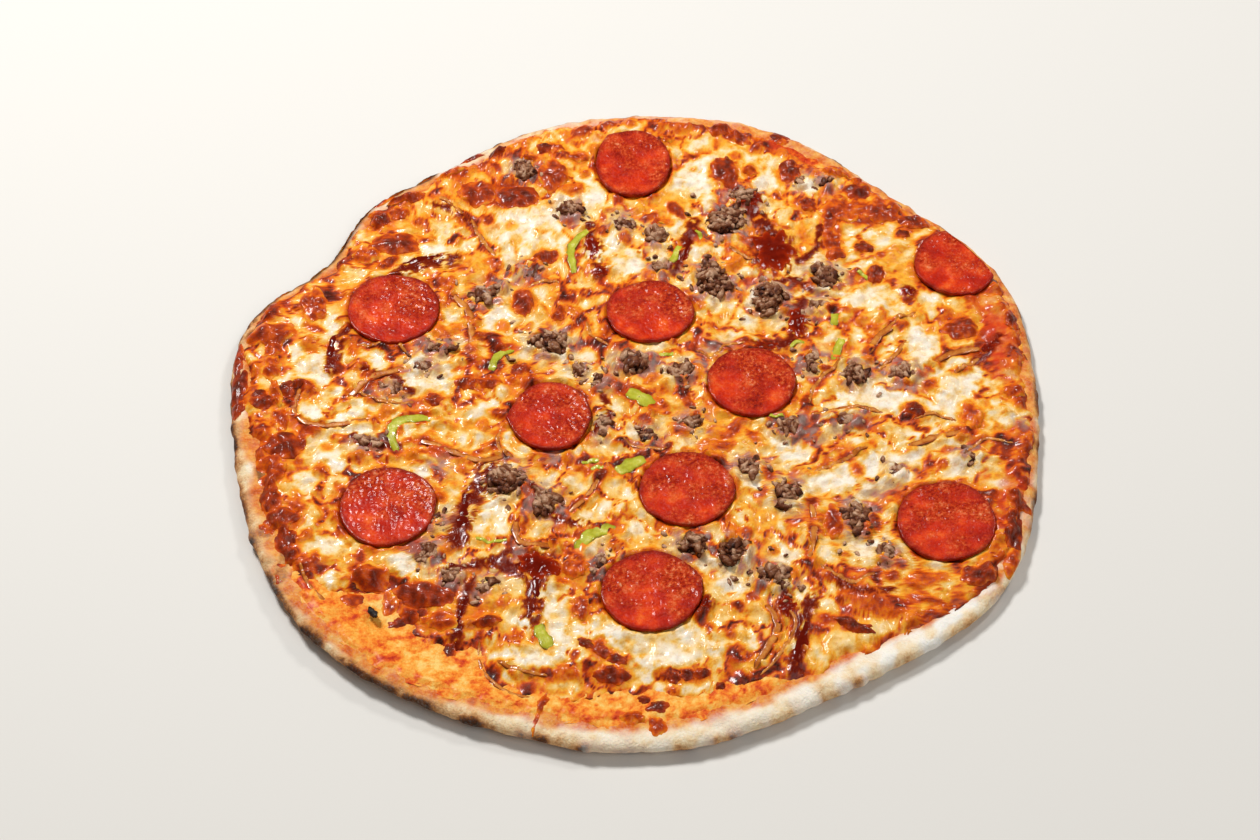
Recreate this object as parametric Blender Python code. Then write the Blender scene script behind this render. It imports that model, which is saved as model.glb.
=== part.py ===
"""A thin stone-baked pizza: dough base, tomato sauce, melted cheese and toppings, each a solid of its own.

Sizes and places are in millimetres and angles in degrees. X runs to the right, Y away from the eater and Z up
from the flat underside. The origin is the middle of the pizza at its underside. An inset is a distance inwards
from the rim's outermost edge. Objects are made in metres.
"""

import math
import random
from typing import NamedTuple

import bmesh
import bpy
from mathutils import Matrix, Vector, noise
from mathutils.geometry import delaunay_2d_cdt

METRES_PER_MM = 0.001
GAP = 0.3
CHEESE_GAP = 0.4
SECTORS = 80

# Dough base: a hand-stretched round, thin and flat in the middle, with a low rounded rim
BASE_THICKNESS = 4.0
RIM_WIDTH = 30.0
# Insets of the rings that every layer's faces share, so that stacked layers stay parallel, and the least
# distance between two rings where a layer's own edge lies further in
BED_RINGS = (12.0, 21.0, 31.0)
BED_RING_STEP = 2.0
RIM_ROUND = 5.0
RIM_DROP = 3.1
UNDERSIDE_ROUND = 13.0
UNDERSIDE_RISE = 1.3
RIM_KNOBBLE = 0.6
RIM_KNOBBLE_LENGTH = 17.0

# Where the rim's edge lies: (angle, reach from the middle)
RIM_REACH = (
    (0, 164.0), (22, 169.0), (46, 159.0), (68, 164.0), (90, 161.0), (108, 157.5), (122, 152.0), (138, 154.0),
    (151, 149.0), (166, 165.0), (191, 161.0), (225, 165.5), (250, 160.0), (270, 161.0), (302, 156.5),
    (328, 168.5), (345, 165.0),
)
# How far the rim's crest stands above the flat middle: (angle, rise)
RIM_RISE = (
    (0, 2.4), (45, 2.0), (90, 2.1), (125, 1.7), (150, 1.6), (180, 2.7), (215, 2.4), (245, 2.6), (270, 3.3),
    (300, 3.8), (325, 3.2), (345, 2.5),
)
# How far the scorched front-left edge has curled up off the surface below: (angle, lift)
EDGE_LIFT = (
    (0, 0.0), (60, 0.0), (120, 0.6), (170, 0.5), (205, 1.2), (230, 3.0), (250, 1.6), (275, 0.3), (310, 0.0),
)
EDGE_LIFT_WIDTH = 28.0

# Tomato sauce: a thin coat that stops short of the rim. (angle, inset of its edge)
SAUCE_THICKNESS = 0.8
SAUCE_EDGE = (
    (0, 4.5), (27, 3.2), (60, 5.0), (120, 5.0), (165, 6.5), (186, 9.0), (202, 8.5), (216, 5.5), (235, 5.0),
    (248, 6.0), (258, 8.5), (272, 9.5), (290, 10.5), (304, 12.5), (318, 12.5), (328, 7.0), (345, 4.5),
)

# Melted cheese: a sheet with an uneven edge. (angle, inset of its edge)
CHEESE_THICKNESS = 2.5
CHEESE_EDGE_THICKNESS = 1.0
CHEESE_THINNING = 16.0
CHEESE_SWELL = 0.45
CHEESE_SWELL_LENGTH = 62.0
CHEESE_GRAIN = 0.3
CHEESE_POINT_SPACING = 11.6
CHEESE_EDGE_WAVER = 1.2
CHEESE_EDGE = (
    (0, 9.0), (10, 15.0), (18, 12.0), (27, 4.6), (40, 8.0), (53, 9.0), (60, 19.0), (68, 13.0), (80, 9.0),
    (100, 7.0), (125, 8.0), (150, 7.0), (168, 8.0), (186, 11.0), (205, 11.0), (214, 11.0), (219, 17.0),
    (223, 28.0), (229, 29.0), (236, 23.0), (243, 27.0), (250, 15.0), (259, 18.0), (269, 23.0), (281, 18.5),
    (290, 17.0), (295, 12.0), (303, 14.0), (316, 15.0), (328, 10.0), (345, 7.5),
)


class Slice(NamedTuple):
    """One round slice of pepperoni: its middle, its half sizes, and the angle its long side is turned to."""

    x: float
    y: float
    half_length: float
    half_width: float
    turn: float


PEPPERONI_THICKNESS = 1.9
PEPPERONI_CURL = 0.7
PEPPERONI_SECTORS = 16
PEPPERONI_ROUND = 0.5
PEPPERONI_REST_GAP = 0.35
PEPPERONI_LEAST_INSET = 5.2
PEPPERONI = (
    Slice(0.0, 127.0, 16.8, 19.8, 0),
    Slice(-99.5, 45.0, 19.0, 18.5, 0),
    Slice(7.0, 43.5, 18.3, 16.3, 0),
    Slice(48.0, 6.5, 18.0, 17.5, 0),
    Slice(-33.0, -10.5, 16.5, 18.0, 10),
    Slice(-96.0, -55.0, 19.0, 18.5, 0),
    Slice(21.0, -46.5, 18.8, 17.8, -5),
    Slice(6.5, -94.0, 19.5, 18.0, 0),
    Slice(121.0, -62.0, 19.0, 18.5, 15),
    Slice(136.0, 70.0, 17.5, 17.5, 0),
)


class Lump(NamedTuple):
    """A rounded lump: its middle, its half length, half width and height, and the angle it is turned to."""

    x: float
    y: float
    half_length: float
    half_width: float
    height: float
    turn: float = 0.0


# Crumbled minced beef, the lumps large enough to lift off singly
BEEF_ROUGHNESS = 0.16
BEEF = (
    Lump(40, 94, 8, 9, 6.0), Lump(47, 108, 6, 4.6, 4.5), Lump(33, 61, 8.2, 9.5, 6.0, 20),
    Lump(57, 51, 7.6, 8.4, 6.5), Lump(80, 63, 7, 7.6, 5.5), Lump(10.5, 86, 4.4, 5.4, 4.0),
    Lump(-27, 101, 5, 5, 4.0), Lump(-34, 27, 8, 6.6, 5.5, -15), Lump(0, 17, 7.6, 5.6, 5.0),
    Lump(20, 13, 6.6, 4, 4.0, 10), Lump(-50, -42, 7.6, 7.6, 5.5), Lump(-35, -52.5, 5.6, 6.6, 5.0),
    Lump(23, -73, 6.4, 5.2, 6.5), Lump(38, -76, 6.2, 7, 6.5), Lump(54, -88, 6, 6, 6.0),
    Lump(60, -48, 6.6, 6.6, 4.5), Lump(46, -35, 5, 4.6, 4.0), Lump(62, -16, 5, 5.6, 4.5),
    Lump(90, 12, 6, 6.6, 5.0), Lump(110, 12, 5.6, 4.6, 4.0), Lump(87, -60, 5.8, 7.6, 5.0),
    Lump(-60, 54, 7.8, 4, 4.0, 35), Lump(-48, 124, 5, 5.8, 4.5),
)

# Smaller crumbs of the beef, sunk a little way into the cheese
BEEF_CRUMBS = (
    Lump(77, 47, 4, 3.4, 3.0), Lump(-5, 92, 4, 4.6, 3.0), Lump(12, 68, 4, 3.6, 3.0), Lump(-46, 66, 4.6, 3.8, 3.0),
    Lump(-22, 14, 3.6, 3.4, 2.6), Lump(-79, 25, 6.6, 3.6, 3.2), Lump(-14, 8, 3.4, 3.2, 2.6),
    Lump(-12.4, -14, 2.4, 6.6, 3.0), Lump(5, -20, 3.8, 3.2, 2.8), Lump(24, -14, 3.8, 4.4, 3.2),
    Lump(73, 18, 4.4, 4.4, 3.2), Lump(85, -12, 5.6, 3.8, 3.2), Lump(103, -38, 3.6, 3.8, 2.8),
    Lump(97.5, -76, 3.4, 4.2, 2.8), Lump(133, -31, 4.4, 4.2, 3.0), Lump(-79, -76, 4.6, 3.8, 3.0),
    Lump(-70, -86, 4.2, 3.6, 3.0), Lump(-96, 3, 3.8, 3.6, 2.8), Lump(-105, -23, 4.6, 3.0, 2.8),
    Lump(-12, -80, 3.0, 3.2, 2.6), Lump(75, 118, 3.8, 3.0, 2.6), Lump(84, 117, 3.0, 3.0, 2.4),
    Lump(-86, 15, 4.0, 3.0, 2.4), Lump(-76, -62, 3.4, 3.0, 2.4), Lump(-57, -91, 4.0, 3.4, 2.6),
)

# Pools of barbecue sauce lying proud of the cheese
SAUCE_POOLS = (
    Lump(59, 79, 8.4, 11.4, 1.5), Lump(-37, -82, 7.6, 5.8, 1.3), Lump(68, 39, 3.4, 6.6, 1.1),
)


class Strand(NamedTuple):
    """A strip that lies on the cheese: its width, its height and the places it passes through."""

    width: float
    height: float
    route: tuple


GREEN_PEPPER = (
    Strand(2.6, 1.8, ((-18, 91), (-26, 80), (-25, 65))),
    Strand(3.0, 1.8, ((-58, 13), (-56, 20), (-49, 25))),
    Strand(3.0, 1.8, ((-80, -11), (-92, -12), (-97, -18), (-94, -28))),
    Strand(4.6, 2.0, ((-3, 3), (3, -1), (10, -6))),
    Strand(4.4, 1.8, ((-7, -38), (-1, -34), (5, -31))),
    Strand(3.8, 2.2, ((-22, -75), (-16, -67), (-6, -65))),
    Strand(3.8, 2.0, ((-36, -108), (-34, -114), (-31, -119))),
    Strand(3.0, 1.8, ((86, 31), (84, 25), (82, 18))),
    Strand(3.0, 1.6, ((83.5, 44), (83.5, 41), (83, 37))),
    Strand(2.6, 1.6, ((20, 81), (18, 76), (16, 71))),
)
ONION = (
    Strand(3.4, 1.6, ((-77, 55), (-68, 42), (-66, 20))),
    Strand(3.4, 1.6, ((-93, 14), (-107, 9), (-115, -1))),
    Strand(2.6, 1.4, ((-135, 5), (-136, -9), (-125, -15), (-106, -12))),
    Strand(2.6, 1.4, ((-87, -22), (-78, -25), (-62, -32), (-51, -30))),
    Strand(2.4, 1.4, ((-12, -36), (-17, -48), (-26, -58))),
    Strand(2.8, 1.6, ((-46, -60), (-44, -71), (-31, -73))),
    Strand(3.0, 1.6, ((50, -99), (54, -110), (45, -127))),
    Strand(3.0, 1.6, ((69.5, -52), (70, -66), (67, -80))),
    Strand(3.0, 1.6, ((108, -26), (123, -20), (136, -18))),
    Strand(3.4, 1.6, ((96, 22), (102, 32), (111, 39))),
    Strand(3.0, 1.6, ((121, 15), (129, 21), (143, 25))),
)
# Thick trails of barbecue sauce that have set on the cheese
SAUCE_TRAILS = (
    Strand(5.0, 1.8, ((-65, -46), (-66, -57), (-68, -68))),
    Strand(3.6, 1.6, ((-50, -82), (-38, -84), (-37, -101))),
    Strand(3.0, 1.6, ((-63, -94), (-65, -102), (-68, -112))),
    Strand(4.0, 1.6, ((66, -102), (62, -118), (60, -129))),
    Strand(3.6, 1.6, ((-122, 33), (-124, 26), (-124, 18))),
    Strand(4.0, 1.6, ((-98, 70), (-88, 74), (-78, 75))),
)
STRAND_STEPS = 3
STRAND_TIP = 0.45

# Blisters where the cheese has swollen and browned, as low domes in its surface
BLISTERS = (
    Lump(-64, 111, 9, 7, 1.8, -5), Lump(-49, 109, 8, 6, 1.5), Lump(-101, 82, 8, 6, 1.8, 10),
    Lump(-113, 75, 5, 5, 1.5), Lump(-105, 97, 7, 4, 1.2, 35), Lump(-133, 48, 5, 7, 1.6),
    Lump(-35, 121, 6, 8, 1.6), Lump(-29, 137, 7, 4, 1.4), Lump(42, 141, 9, 4, 1.5, -25),
    Lump(36, 122, 6, 7, 1.8), Lump(68, 124, 5, 6, 1.4), Lump(96, 112, 5, 5, 1.5), Lump(101, 98, 9, 6, 2.0),
    Lump(87, 94, 5, 8, 1.6), Lump(117, 92, 6, 4, 1.3), Lump(103, 78, 5, 5, 1.3), Lump(25, 112, 5, 5, 1.3),
    Lump(-46, 46, 5, 6, 1.5), Lump(-63, 4, 7, 4, 1.4), Lump(-81, -2, 4, 4, 1.2), Lump(-145, 32, 7, 6, 1.6),
    Lump(-148, 12, 4, 6, 1.4), Lump(-146, -5, 4, 7, 1.5, 15), Lump(-137, -27, 7, 7, 1.8),
    Lump(-136, -41, 5, 6, 1.6), Lump(-133, -57, 6, 6, 1.7), Lump(-127, -72, 5, 6, 1.5),
    Lump(-102, -84, 8, 5, 1.7), Lump(-110, -93, 5, 4, 1.3), Lump(-81, -95, 8, 5, 1.7, -10),
    Lump(-92, -98, 4, 5, 1.4), Lump(-76, -107, 6, 4, 1.4), Lump(-52, -106, 6, 4, 1.3), Lump(-20, -103, 5, 5, 1.3),
    Lump(-13, -121, 8, 4, 1.4, -20), Lump(-8, -131, 7, 4, 1.5), Lump(20, -129, 8, 3.5, 1.3, 10),
    Lump(83, -108, 8, 4, 1.4, -25), Lump(96, -98, 9, 7, 2.0), Lump(80, -94, 6, 4, 1.3),
    Lump(127, -88, 5, 6, 1.5), Lump(78, -64, 5, 6, 1.4), Lump(112, -6, 5, 5, 1.2), Lump(137, -8, 5, 6, 1.3),
    Lump(133, 36, 6, 6, 1.5), Lump(146, 2, 5, 5, 1.3), Lump(144, -52, 4, 7, 1.4), Lump(-118, 52, 4, 6, 1.2),
    Lump(-120, 8, 5, 6, 1.2), Lump(-112, -78, 4, 4, 1.1), Lump(-76, 82, 6, 5, 1.3), Lump(-57, 80, 5, 5, 1.2),
    Lump(105, 55, 6, 5, 1.3), Lump(124, 38, 5, 5, 1.2), Lump(99, -10, 5, 4, 1.1), Lump(44, -62, 4, 4, 1.1),
    Lump(-30, -34, 4, 4, 1.0), Lump(28, 28, 4, 4, 1.0), Lump(-62, -18, 6, 5, 1.2), Lump(-120, -35, 5, 5, 1.3),
    Lump(34, -112, 6, 5, 1.2), Lump(-14, 60, 5, 5, 1.1), Lump(68, 100, 6, 5, 1.3), Lump(108, -100, 5, 5, 1.4),
)
BLISTER_SHOULDER = 0.62
BLISTER_SHOULDER_HEIGHT = 0.72
BLISTER_CLEARANCE = 0.6

# One dark seed that lies on the bare sauce
SEED = Lump(-98.5, -103, 3.0, 1.5, 1.1, 68)

# Paint: (red, green, blue) in linear light, and roughness
DOUGH_PAINT = ((0.72, 0.50, 0.27), 0.8)
SAUCE_PAINT = ((0.72, 0.18, 0.035), 0.45)
CHEESE_PAINT = ((0.86, 0.62, 0.30), 0.4)
PEPPERONI_PAINT = ((0.50, 0.035, 0.012), 0.35)
BEEF_PAINT = ((0.10, 0.045, 0.022), 0.6)
PEPPER_PAINT = ((0.38, 0.40, 0.03), 0.35)
ONION_PAINT = ((0.36, 0.13, 0.03), 0.35)

RANDOM_SEED = 7
SHARP_ANGLE = math.radians(50)


def ease(amount):
    """A smooth step from 0 to 1."""
    held = min(1.0, max(0.0, amount))
    return held * held * (3.0 - 2.0 * held)


def around(stations, angle):
    """The value at an angle of a smooth closed curve through (angle, value) stations."""
    count = len(stations)
    turned = angle % 360.0
    index = max(i for i in range(count) if stations[i][0] <= turned)
    before, start, end, after = (stations[(index + step) % count][1] for step in (-1, 0, 1, 2))
    span = (stations[(index + 1) % count][0] - stations[index][0]) % 360.0
    part = (turned - stations[index][0]) / span
    slope_start = (end - before) / 2.0
    slope_end = (after - start) / 2.0
    bend = 3.0 * (end - start) - 2.0 * slope_start - slope_end
    twist = 2.0 * (start - end) + slope_start + slope_end
    return start + part * (slope_start + part * (bend + part * twist))


def unit(angle):
    """The level direction at an angle."""
    return Vector((math.cos(math.radians(angle)), math.sin(math.radians(angle))))


def sector_angles(count=SECTORS):
    return [360.0 * index / count for index in range(count)]


def outline_middle():
    """The middle of the rim outline's box, which becomes the origin."""
    edge = [unit(angle) * around(RIM_REACH, angle) for angle in sector_angles()]
    return Vector([(max(p[axis] for p in edge) + min(p[axis] for p in edge)) / 2.0 for axis in (0, 1)])


MIDDLE = outline_middle()


def spot(angle, inset):
    """The place at an angle and an inset."""
    return unit(angle) * (around(RIM_REACH, angle) - inset) - MIDDLE


def polar(x, y):
    """The angle and the inset of a place."""
    from_middle = Vector((x, y)) + MIDDLE
    angle = math.degrees(math.atan2(from_middle.y, from_middle.x)) % 360.0
    return angle, around(RIM_REACH, angle) - from_middle.length


def rounding(inset):
    """How far the rim's rounded edge has dropped at an inset, from 1 at the edge to 0 past the round."""
    across = min(1.0, max(0.0, 1.0 - inset / RIM_ROUND))
    return 1.0 - math.sqrt(1.0 - across * across)


def edge_lift(angle, inset):
    return around(EDGE_LIFT, angle) * ease(1.0 - inset / EDGE_LIFT_WIDTH)


def dough_top(angle, inset):
    """The height of the dough's top face."""
    swell = around(RIM_RISE, angle) * ease(1.0 - inset / RIM_WIDTH)
    return BASE_THICKNESS + swell + edge_lift(angle, inset) - RIM_DROP * rounding(inset)


def dough_underside(angle, inset):
    """The height of the dough's underside: flat on the floor, rounding up to meet the rim's edge."""
    edge_height = dough_top(angle, 0.0) - UNDERSIDE_RISE - edge_lift(angle, 0.0)
    curl = UNDERSIDE_RISE * ease(1.0 - inset / UNDERSIDE_ROUND)
    return curl + edge_lift(angle, inset) + edge_height * rounding(inset)


def cheese_edge(angle):
    """The inset of the cheese's edge, with the short wavers of a melted edge."""
    waver = math.sin(math.radians(23 * angle)) + math.sin(math.radians(37 * angle + 50))
    return around(CHEESE_EDGE, angle) + 0.5 * CHEESE_EDGE_WAVER * waver


def layer_insets(edge):
    """The insets of a layer's rings, from its own edge inwards."""
    shared = [max(inset, edge + BED_RING_STEP * step) for step, inset in enumerate(BED_RINGS, 1)]
    return [edge, *shared]


def cheese_underside(angle, inset):
    return dough_top(angle, inset) + GAP + SAUCE_THICKNESS + CHEESE_GAP


def cheese_top(x, y):
    """The height of the cheese's smooth top, which the toppings rest on."""
    angle, inset = polar(x, y)
    depth = ease((inset - cheese_edge(angle)) / CHEESE_THINNING)
    thickness = CHEESE_EDGE_THICKNESS + (CHEESE_THICKNESS - CHEESE_EDGE_THICKNESS) * depth
    swell = CHEESE_SWELL * noise.noise(Vector((x, y, 0.0)) / CHEESE_SWELL_LENGTH)
    return cheese_underside(angle, inset) + thickness + swell * depth


def turned_offset(lump, across, along):
    """The place at a share of a lump's half length and half width."""
    turn = math.radians(lump.turn)
    a, b = across * lump.half_length, along * lump.half_width
    return (lump.x + a * math.cos(turn) - b * math.sin(turn), lump.y + a * math.sin(turn) + b * math.cos(turn))


def share_out(lump, x, y):
    """How far out a place is on an elliptical footprint: 0 at the middle and 1 at its edge."""
    turn = math.radians(lump.turn)
    dx, dy = x - lump.x, y - lump.y
    a = (dx * math.cos(turn) + dy * math.sin(turn)) / lump.half_length
    b = (dy * math.cos(turn) - dx * math.sin(turn)) / lump.half_width
    return math.hypot(a, b)


def strand_points(strand):
    """Evenly spread places on a smooth curve through a strand's route."""
    route = [Vector(place) for place in strand.route]
    route = [2.0 * route[0] - route[1], *route, 2.0 * route[-1] - route[-2]]
    points = []
    for before, start, end, after in zip(route, route[1:], route[2:], route[3:]):
        for step in range(STRAND_STEPS):
            part = step / STRAND_STEPS
            bend = 2.0 * before - 5.0 * start + 4.0 * end - after
            twist = 3.0 * start - before - 3.0 * end + after
            points.append(start + 0.5 * part * ((end - before) + part * (bend + part * twist)))
    points.append(route[-2])
    return points


def topping_footprints():
    """Circles and ellipses that cover every topping with a node of its own."""
    prints = [Lump(s.x, s.y, s.half_length, s.half_width, 0.0, s.turn) for s in PEPPERONI]
    prints += list(BEEF)
    for strand in (*GREEN_PEPPER, *ONION):
        prints += [Lump(p.x, p.y, strand.width / 2.0, strand.width / 2.0, 0.0) for p in strand_points(strand)]
    return prints


FOOTPRINTS = topping_footprints()


def clear_of_toppings(x, y, reach):
    """Whether a circle of this reach lies clear of every topping with a node of its own."""
    for mark in FOOTPRINTS:
        distance = math.hypot(x - mark.x, y - mark.y)
        longest = max(mark.half_length, mark.half_width)
        if distance > longest + reach:
            continue
        edge_distance = distance - distance / max(share_out(mark, x, y), 1e-6)
        if edge_distance < reach:
            return False
    return True


def blisters_that_fit():
    """The blisters, each shrunk until it is clear of the toppings and inside the cheese, or left out."""
    fitted = []
    for blister in BLISTERS:
        for share in (1.0, 0.85, 0.7, 0.55):
            smaller = blister._replace(
                half_length=share * blister.half_length,
                half_width=share * blister.half_width,
                height=share * blister.height,
            )
            reach = max(smaller.half_length, smaller.half_width) + BLISTER_CLEARANCE
            angle, inset = polar(blister.x, blister.y)
            inside = inset - cheese_edge(angle) > reach
            apart = all(share_out(other, blister.x, blister.y) > 1.3 for other in fitted)
            if inside and apart and clear_of_toppings(blister.x, blister.y, reach):
                fitted.append(smaller)
                break
    return fitted


def lofted(rings):
    """A bmesh skinned over rings of points in order. A ring of one point closes that end."""
    bm = bmesh.new()
    made = [[bm.verts.new(point) for point in ring] for ring in rings]
    for first, second in zip(made, made[1:]):
        for index in range(max(len(first), len(second))):
            corners = []
            for corner in (
                first[index % len(first)],
                first[(index + 1) % len(first)],
                second[(index + 1) % len(second)],
                second[index % len(second)],
            ):
                if corner not in corners:
                    corners.append(corner)
            bm.faces.new(corners)
    return bm, made


def paint(name, colour_and_roughness):
    """A plain Principled material."""
    colour, roughness = colour_and_roughness
    material = bpy.data.materials.new(name)
    material.use_nodes = True
    shader = material.node_tree.nodes["Principled BSDF"]
    shader.inputs["Base Color"].default_value = (*colour, 1.0)
    shader.inputs["Roughness"].default_value = roughness
    shader.inputs["Metallic"].default_value = 0.0
    material.diffuse_color = (*colour, 1.0)
    return material


def solid(name, bm, collection, look):
    """An object in metres from a closed bmesh in millimetres, with its faces turned outwards."""
    bmesh.ops.recalc_face_normals(bm, faces=bm.faces)
    bmesh.ops.triangulate(bm, faces=bm.faces)
    bmesh.ops.transform(bm, matrix=Matrix.Scale(METRES_PER_MM, 4), verts=bm.verts)
    mesh = bpy.data.meshes.new(name)
    bm.to_mesh(mesh)
    bm.free()
    mesh.shade_smooth()
    mesh.set_sharp_from_angle(angle=SHARP_ANGLE)
    mesh.materials.append(paint(name, look))
    made = bpy.data.objects.new(name, mesh)
    collection.objects.link(made)
    return made


def fuse(base, pieces):
    """Joins loose pieces to the solid that they are sunk into, and removes them."""
    loose = bpy.data.collections.new(base.name + "_fused")
    bpy.context.scene.collection.children.link(loose)
    for piece in pieces:
        for home in list(piece.users_collection):
            home.objects.unlink(piece)
        loose.objects.link(piece)
    union = base.modifiers.new("fused", "BOOLEAN")
    union.operation = "UNION"
    union.solver = "EXACT"
    union.operand_type = "COLLECTION"
    union.collection = loose
    graph = bpy.context.evaluated_depsgraph_get()
    joined = bpy.data.meshes.new_from_object(base.evaluated_get(graph))
    base.modifiers.remove(union)
    separate = base.data
    base.data = joined
    joined.name = base.name
    bpy.data.meshes.remove(separate)
    for piece in list(loose.objects):
        bpy.data.objects.remove(piece)
    bpy.data.collections.remove(loose)


def build_crust(collection):
    """The dough: top rings from the middle out to the rim's edge, then underside rings back in."""
    top_insets = (*reversed(BED_RINGS), 7.5, RIM_ROUND, 2.6, 0.9)
    under_insets = (1.0, RIM_ROUND, UNDERSIDE_ROUND)
    rings = [[(-MIDDLE.x, -MIDDLE.y, BASE_THICKNESS)]]
    for inset in top_insets:
        rings.append([(*spot(a, inset), dough_top(a, inset)) for a in sector_angles()])
    rings.append([(*spot(a, 0.0), dough_top(a, 0.0)) for a in sector_angles()])
    for inset in under_insets:
        rings.append([(*spot(a, inset), dough_underside(a, inset)) for a in sector_angles()])
    rings.append([(-MIDDLE.x, -MIDDLE.y, 0.0)])
    bm, made = lofted(rings)
    last_top = len(top_insets)
    for ring, weight in ((made[last_top], 0.7), (made[last_top + 1], 1.0), (made[last_top + 2], 0.6)):
        for vertex in ring:
            push = noise.noise(vertex.co / RIM_KNOBBLE_LENGTH)
            outward = Vector((vertex.co.x, vertex.co.y, 0.0)).normalized()
            vertex.co += outward * (min(push, 0.0) * RIM_KNOBBLE * 2.0 * weight)
            vertex.co.z += abs(push) * RIM_KNOBBLE * weight
    return solid("crust", bm, collection, DOUGH_PAINT)


def build_sauce(collection):
    """The tomato sauce: a coat of even thickness over the dough, with the dark seed lying on it."""
    under, over = [], []
    for ring in range(len(BED_RINGS) + 1):
        lower, upper = [], []
        for angle in sector_angles():
            inset = layer_insets(around(SAUCE_EDGE, angle))[ring]
            floor = dough_top(angle, inset) + GAP
            lower.append((*spot(angle, inset), floor))
            upper.append((*spot(angle, inset), floor + SAUCE_THICKNESS))
        under.append(lower)
        over.append(upper)
    floor = BASE_THICKNESS + GAP
    middle = (-MIDDLE.x, -MIDDLE.y)
    rings = [[(*middle, floor)], *reversed(under), *over, [(*middle, floor + SAUCE_THICKNESS)]]
    bm, _ = lofted(rings)
    sauce = solid("tomato_sauce", bm, collection, SAUCE_PAINT)
    angle, inset = polar(SEED.x, SEED.y)
    bed = dough_top(angle, inset) + GAP + SAUCE_THICKNESS
    seed = build_lump("seed", SEED, collection, bed, 1, random.Random(RANDOM_SEED))
    fuse(sauce, [seed])
    return sauce


def cheese_field(blisters):
    """Places and heights inside the cheese's edge: rings by the rim, an even field, and the blisters' domes."""
    draw = random.Random(RANDOM_SEED)
    places = []
    for inset in BED_RINGS:
        for angle in sector_angles():
            if inset - cheese_edge(angle) > 4.0:
                places.append(spot(angle, inset))
    row_height = CHEESE_POINT_SPACING * math.sqrt(0.75)
    rows = int(around(RIM_REACH, 22) / row_height)
    for row in range(-rows, rows + 1):
        for column in range(-rows, rows + 1):
            place = Vector((CHEESE_POINT_SPACING * (column + 0.5 * (row % 2)), row_height * row))
            place += Vector((draw.uniform(-1, 1), draw.uniform(-1, 1))) * 0.12 * CHEESE_POINT_SPACING
            if polar(*place)[1] > RIM_WIDTH + 5.0:
                places.append(place)
    places = [p for p in places if all(share_out(b, *p) > 1.3 for b in blisters)]
    field = []
    for place in places:
        grain = draw.uniform(-1, 1) * CHEESE_GRAIN
        if not clear_of_toppings(place.x, place.y, CHEESE_POINT_SPACING):
            grain = 0.0
        field.append((place.x, place.y, cheese_top(*place) + grain))
    for blister in blisters:
        sides = 8 if blister.half_length + blister.half_width > 11.0 else 6
        for share, height in ((1.0, 0.0), (BLISTER_SHOULDER, BLISTER_SHOULDER_HEIGHT)):
            for angle in sector_angles(sides):
                x, y = turned_offset(blister, *(share * unit(angle + 20.0)))
                field.append((x, y, cheese_top(x, y) + height * blister.height))
        field.append((blister.x, blister.y, cheese_top(blister.x, blister.y) + blister.height))
    return field


def build_cheese(collection):
    """The cheese: a sheet over the sauce, blistered on top, with crumbs and barbecue sauce set into it."""
    rings = [[(-MIDDLE.x, -MIDDLE.y, cheese_underside(0.0, RIM_WIDTH))]]
    for ring in reversed(range(len(BED_RINGS) + 1)):
        points = []
        for angle in sector_angles():
            inset = layer_insets(cheese_edge(angle))[ring]
            points.append((*spot(angle, inset), cheese_underside(angle, inset)))
        rings.append(points)
    edge_places = [spot(angle, cheese_edge(angle)) for angle in sector_angles()]
    rings.append([(p.x, p.y, cheese_top(p.x, p.y)) for p in edge_places])
    bm, made = lofted(rings)
    rim = made[-1]
    field = cheese_field(blisters_that_fit())
    flat = [vertex.co.xy for vertex in rim] + [Vector(point[:2]) for point in field]
    loop = [(index, (index + 1) % SECTORS) for index in range(SECTORS)]
    placed, _, faces, sources, _, _ = delaunay_2d_cdt(flat, loop, [], 1, 1e-5)
    heights = {index: point[2] for index, point in enumerate(field, SECTORS)}
    corners = []
    for place, source in zip(placed, sources):
        index = source[0]
        corners.append(rim[index] if index < SECTORS else bm.verts.new((*place, heights[index])))
    for face in faces:
        bm.faces.new([corners[index] for index in face])
    cheese = solid("cheese", bm, collection, CHEESE_PAINT)
    draw = random.Random(RANDOM_SEED)
    pieces = []
    for index, crumb in enumerate(BEEF_CRUMBS):
        if clear_of_toppings(crumb.x, crumb.y, 0.9 * max(crumb.half_length, crumb.half_width)):
            bed = cheese_top(crumb.x, crumb.y)
            pieces.append(build_lump(f"crumb_{index}", crumb, collection, bed, 1, draw))
    for index, pool in enumerate(SAUCE_POOLS):
        pieces.append(build_lump(f"pool_{index}", pool, collection, cheese_top(pool.x, pool.y), 1, draw))
    for index, trail in enumerate(SAUCE_TRAILS):
        pieces.append(build_strand(f"trail_{index}", trail, collection, SAUCE_PAINT, 0.0))
    fuse(cheese, pieces)
    return cheese


def build_lump(name, lump, collection, bed, detail, draw):
    """A rough lump, half of it sunk below the height of its bed."""
    bm = bmesh.new()
    bmesh.ops.create_icosphere(bm, subdivisions=detail, radius=1.0)
    for vertex in bm.verts:
        rough = 1.0 - BEEF_ROUGHNESS * draw.random()
        x, y = turned_offset(lump, vertex.co.x * rough, vertex.co.y * rough)
        sunk = 1.0 if vertex.co.z > 0.0 else 0.35
        vertex.co = (x, y, bed + vertex.co.z * sunk * lump.height * rough)
    return solid(name, bm, collection, BEEF_PAINT)


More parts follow.
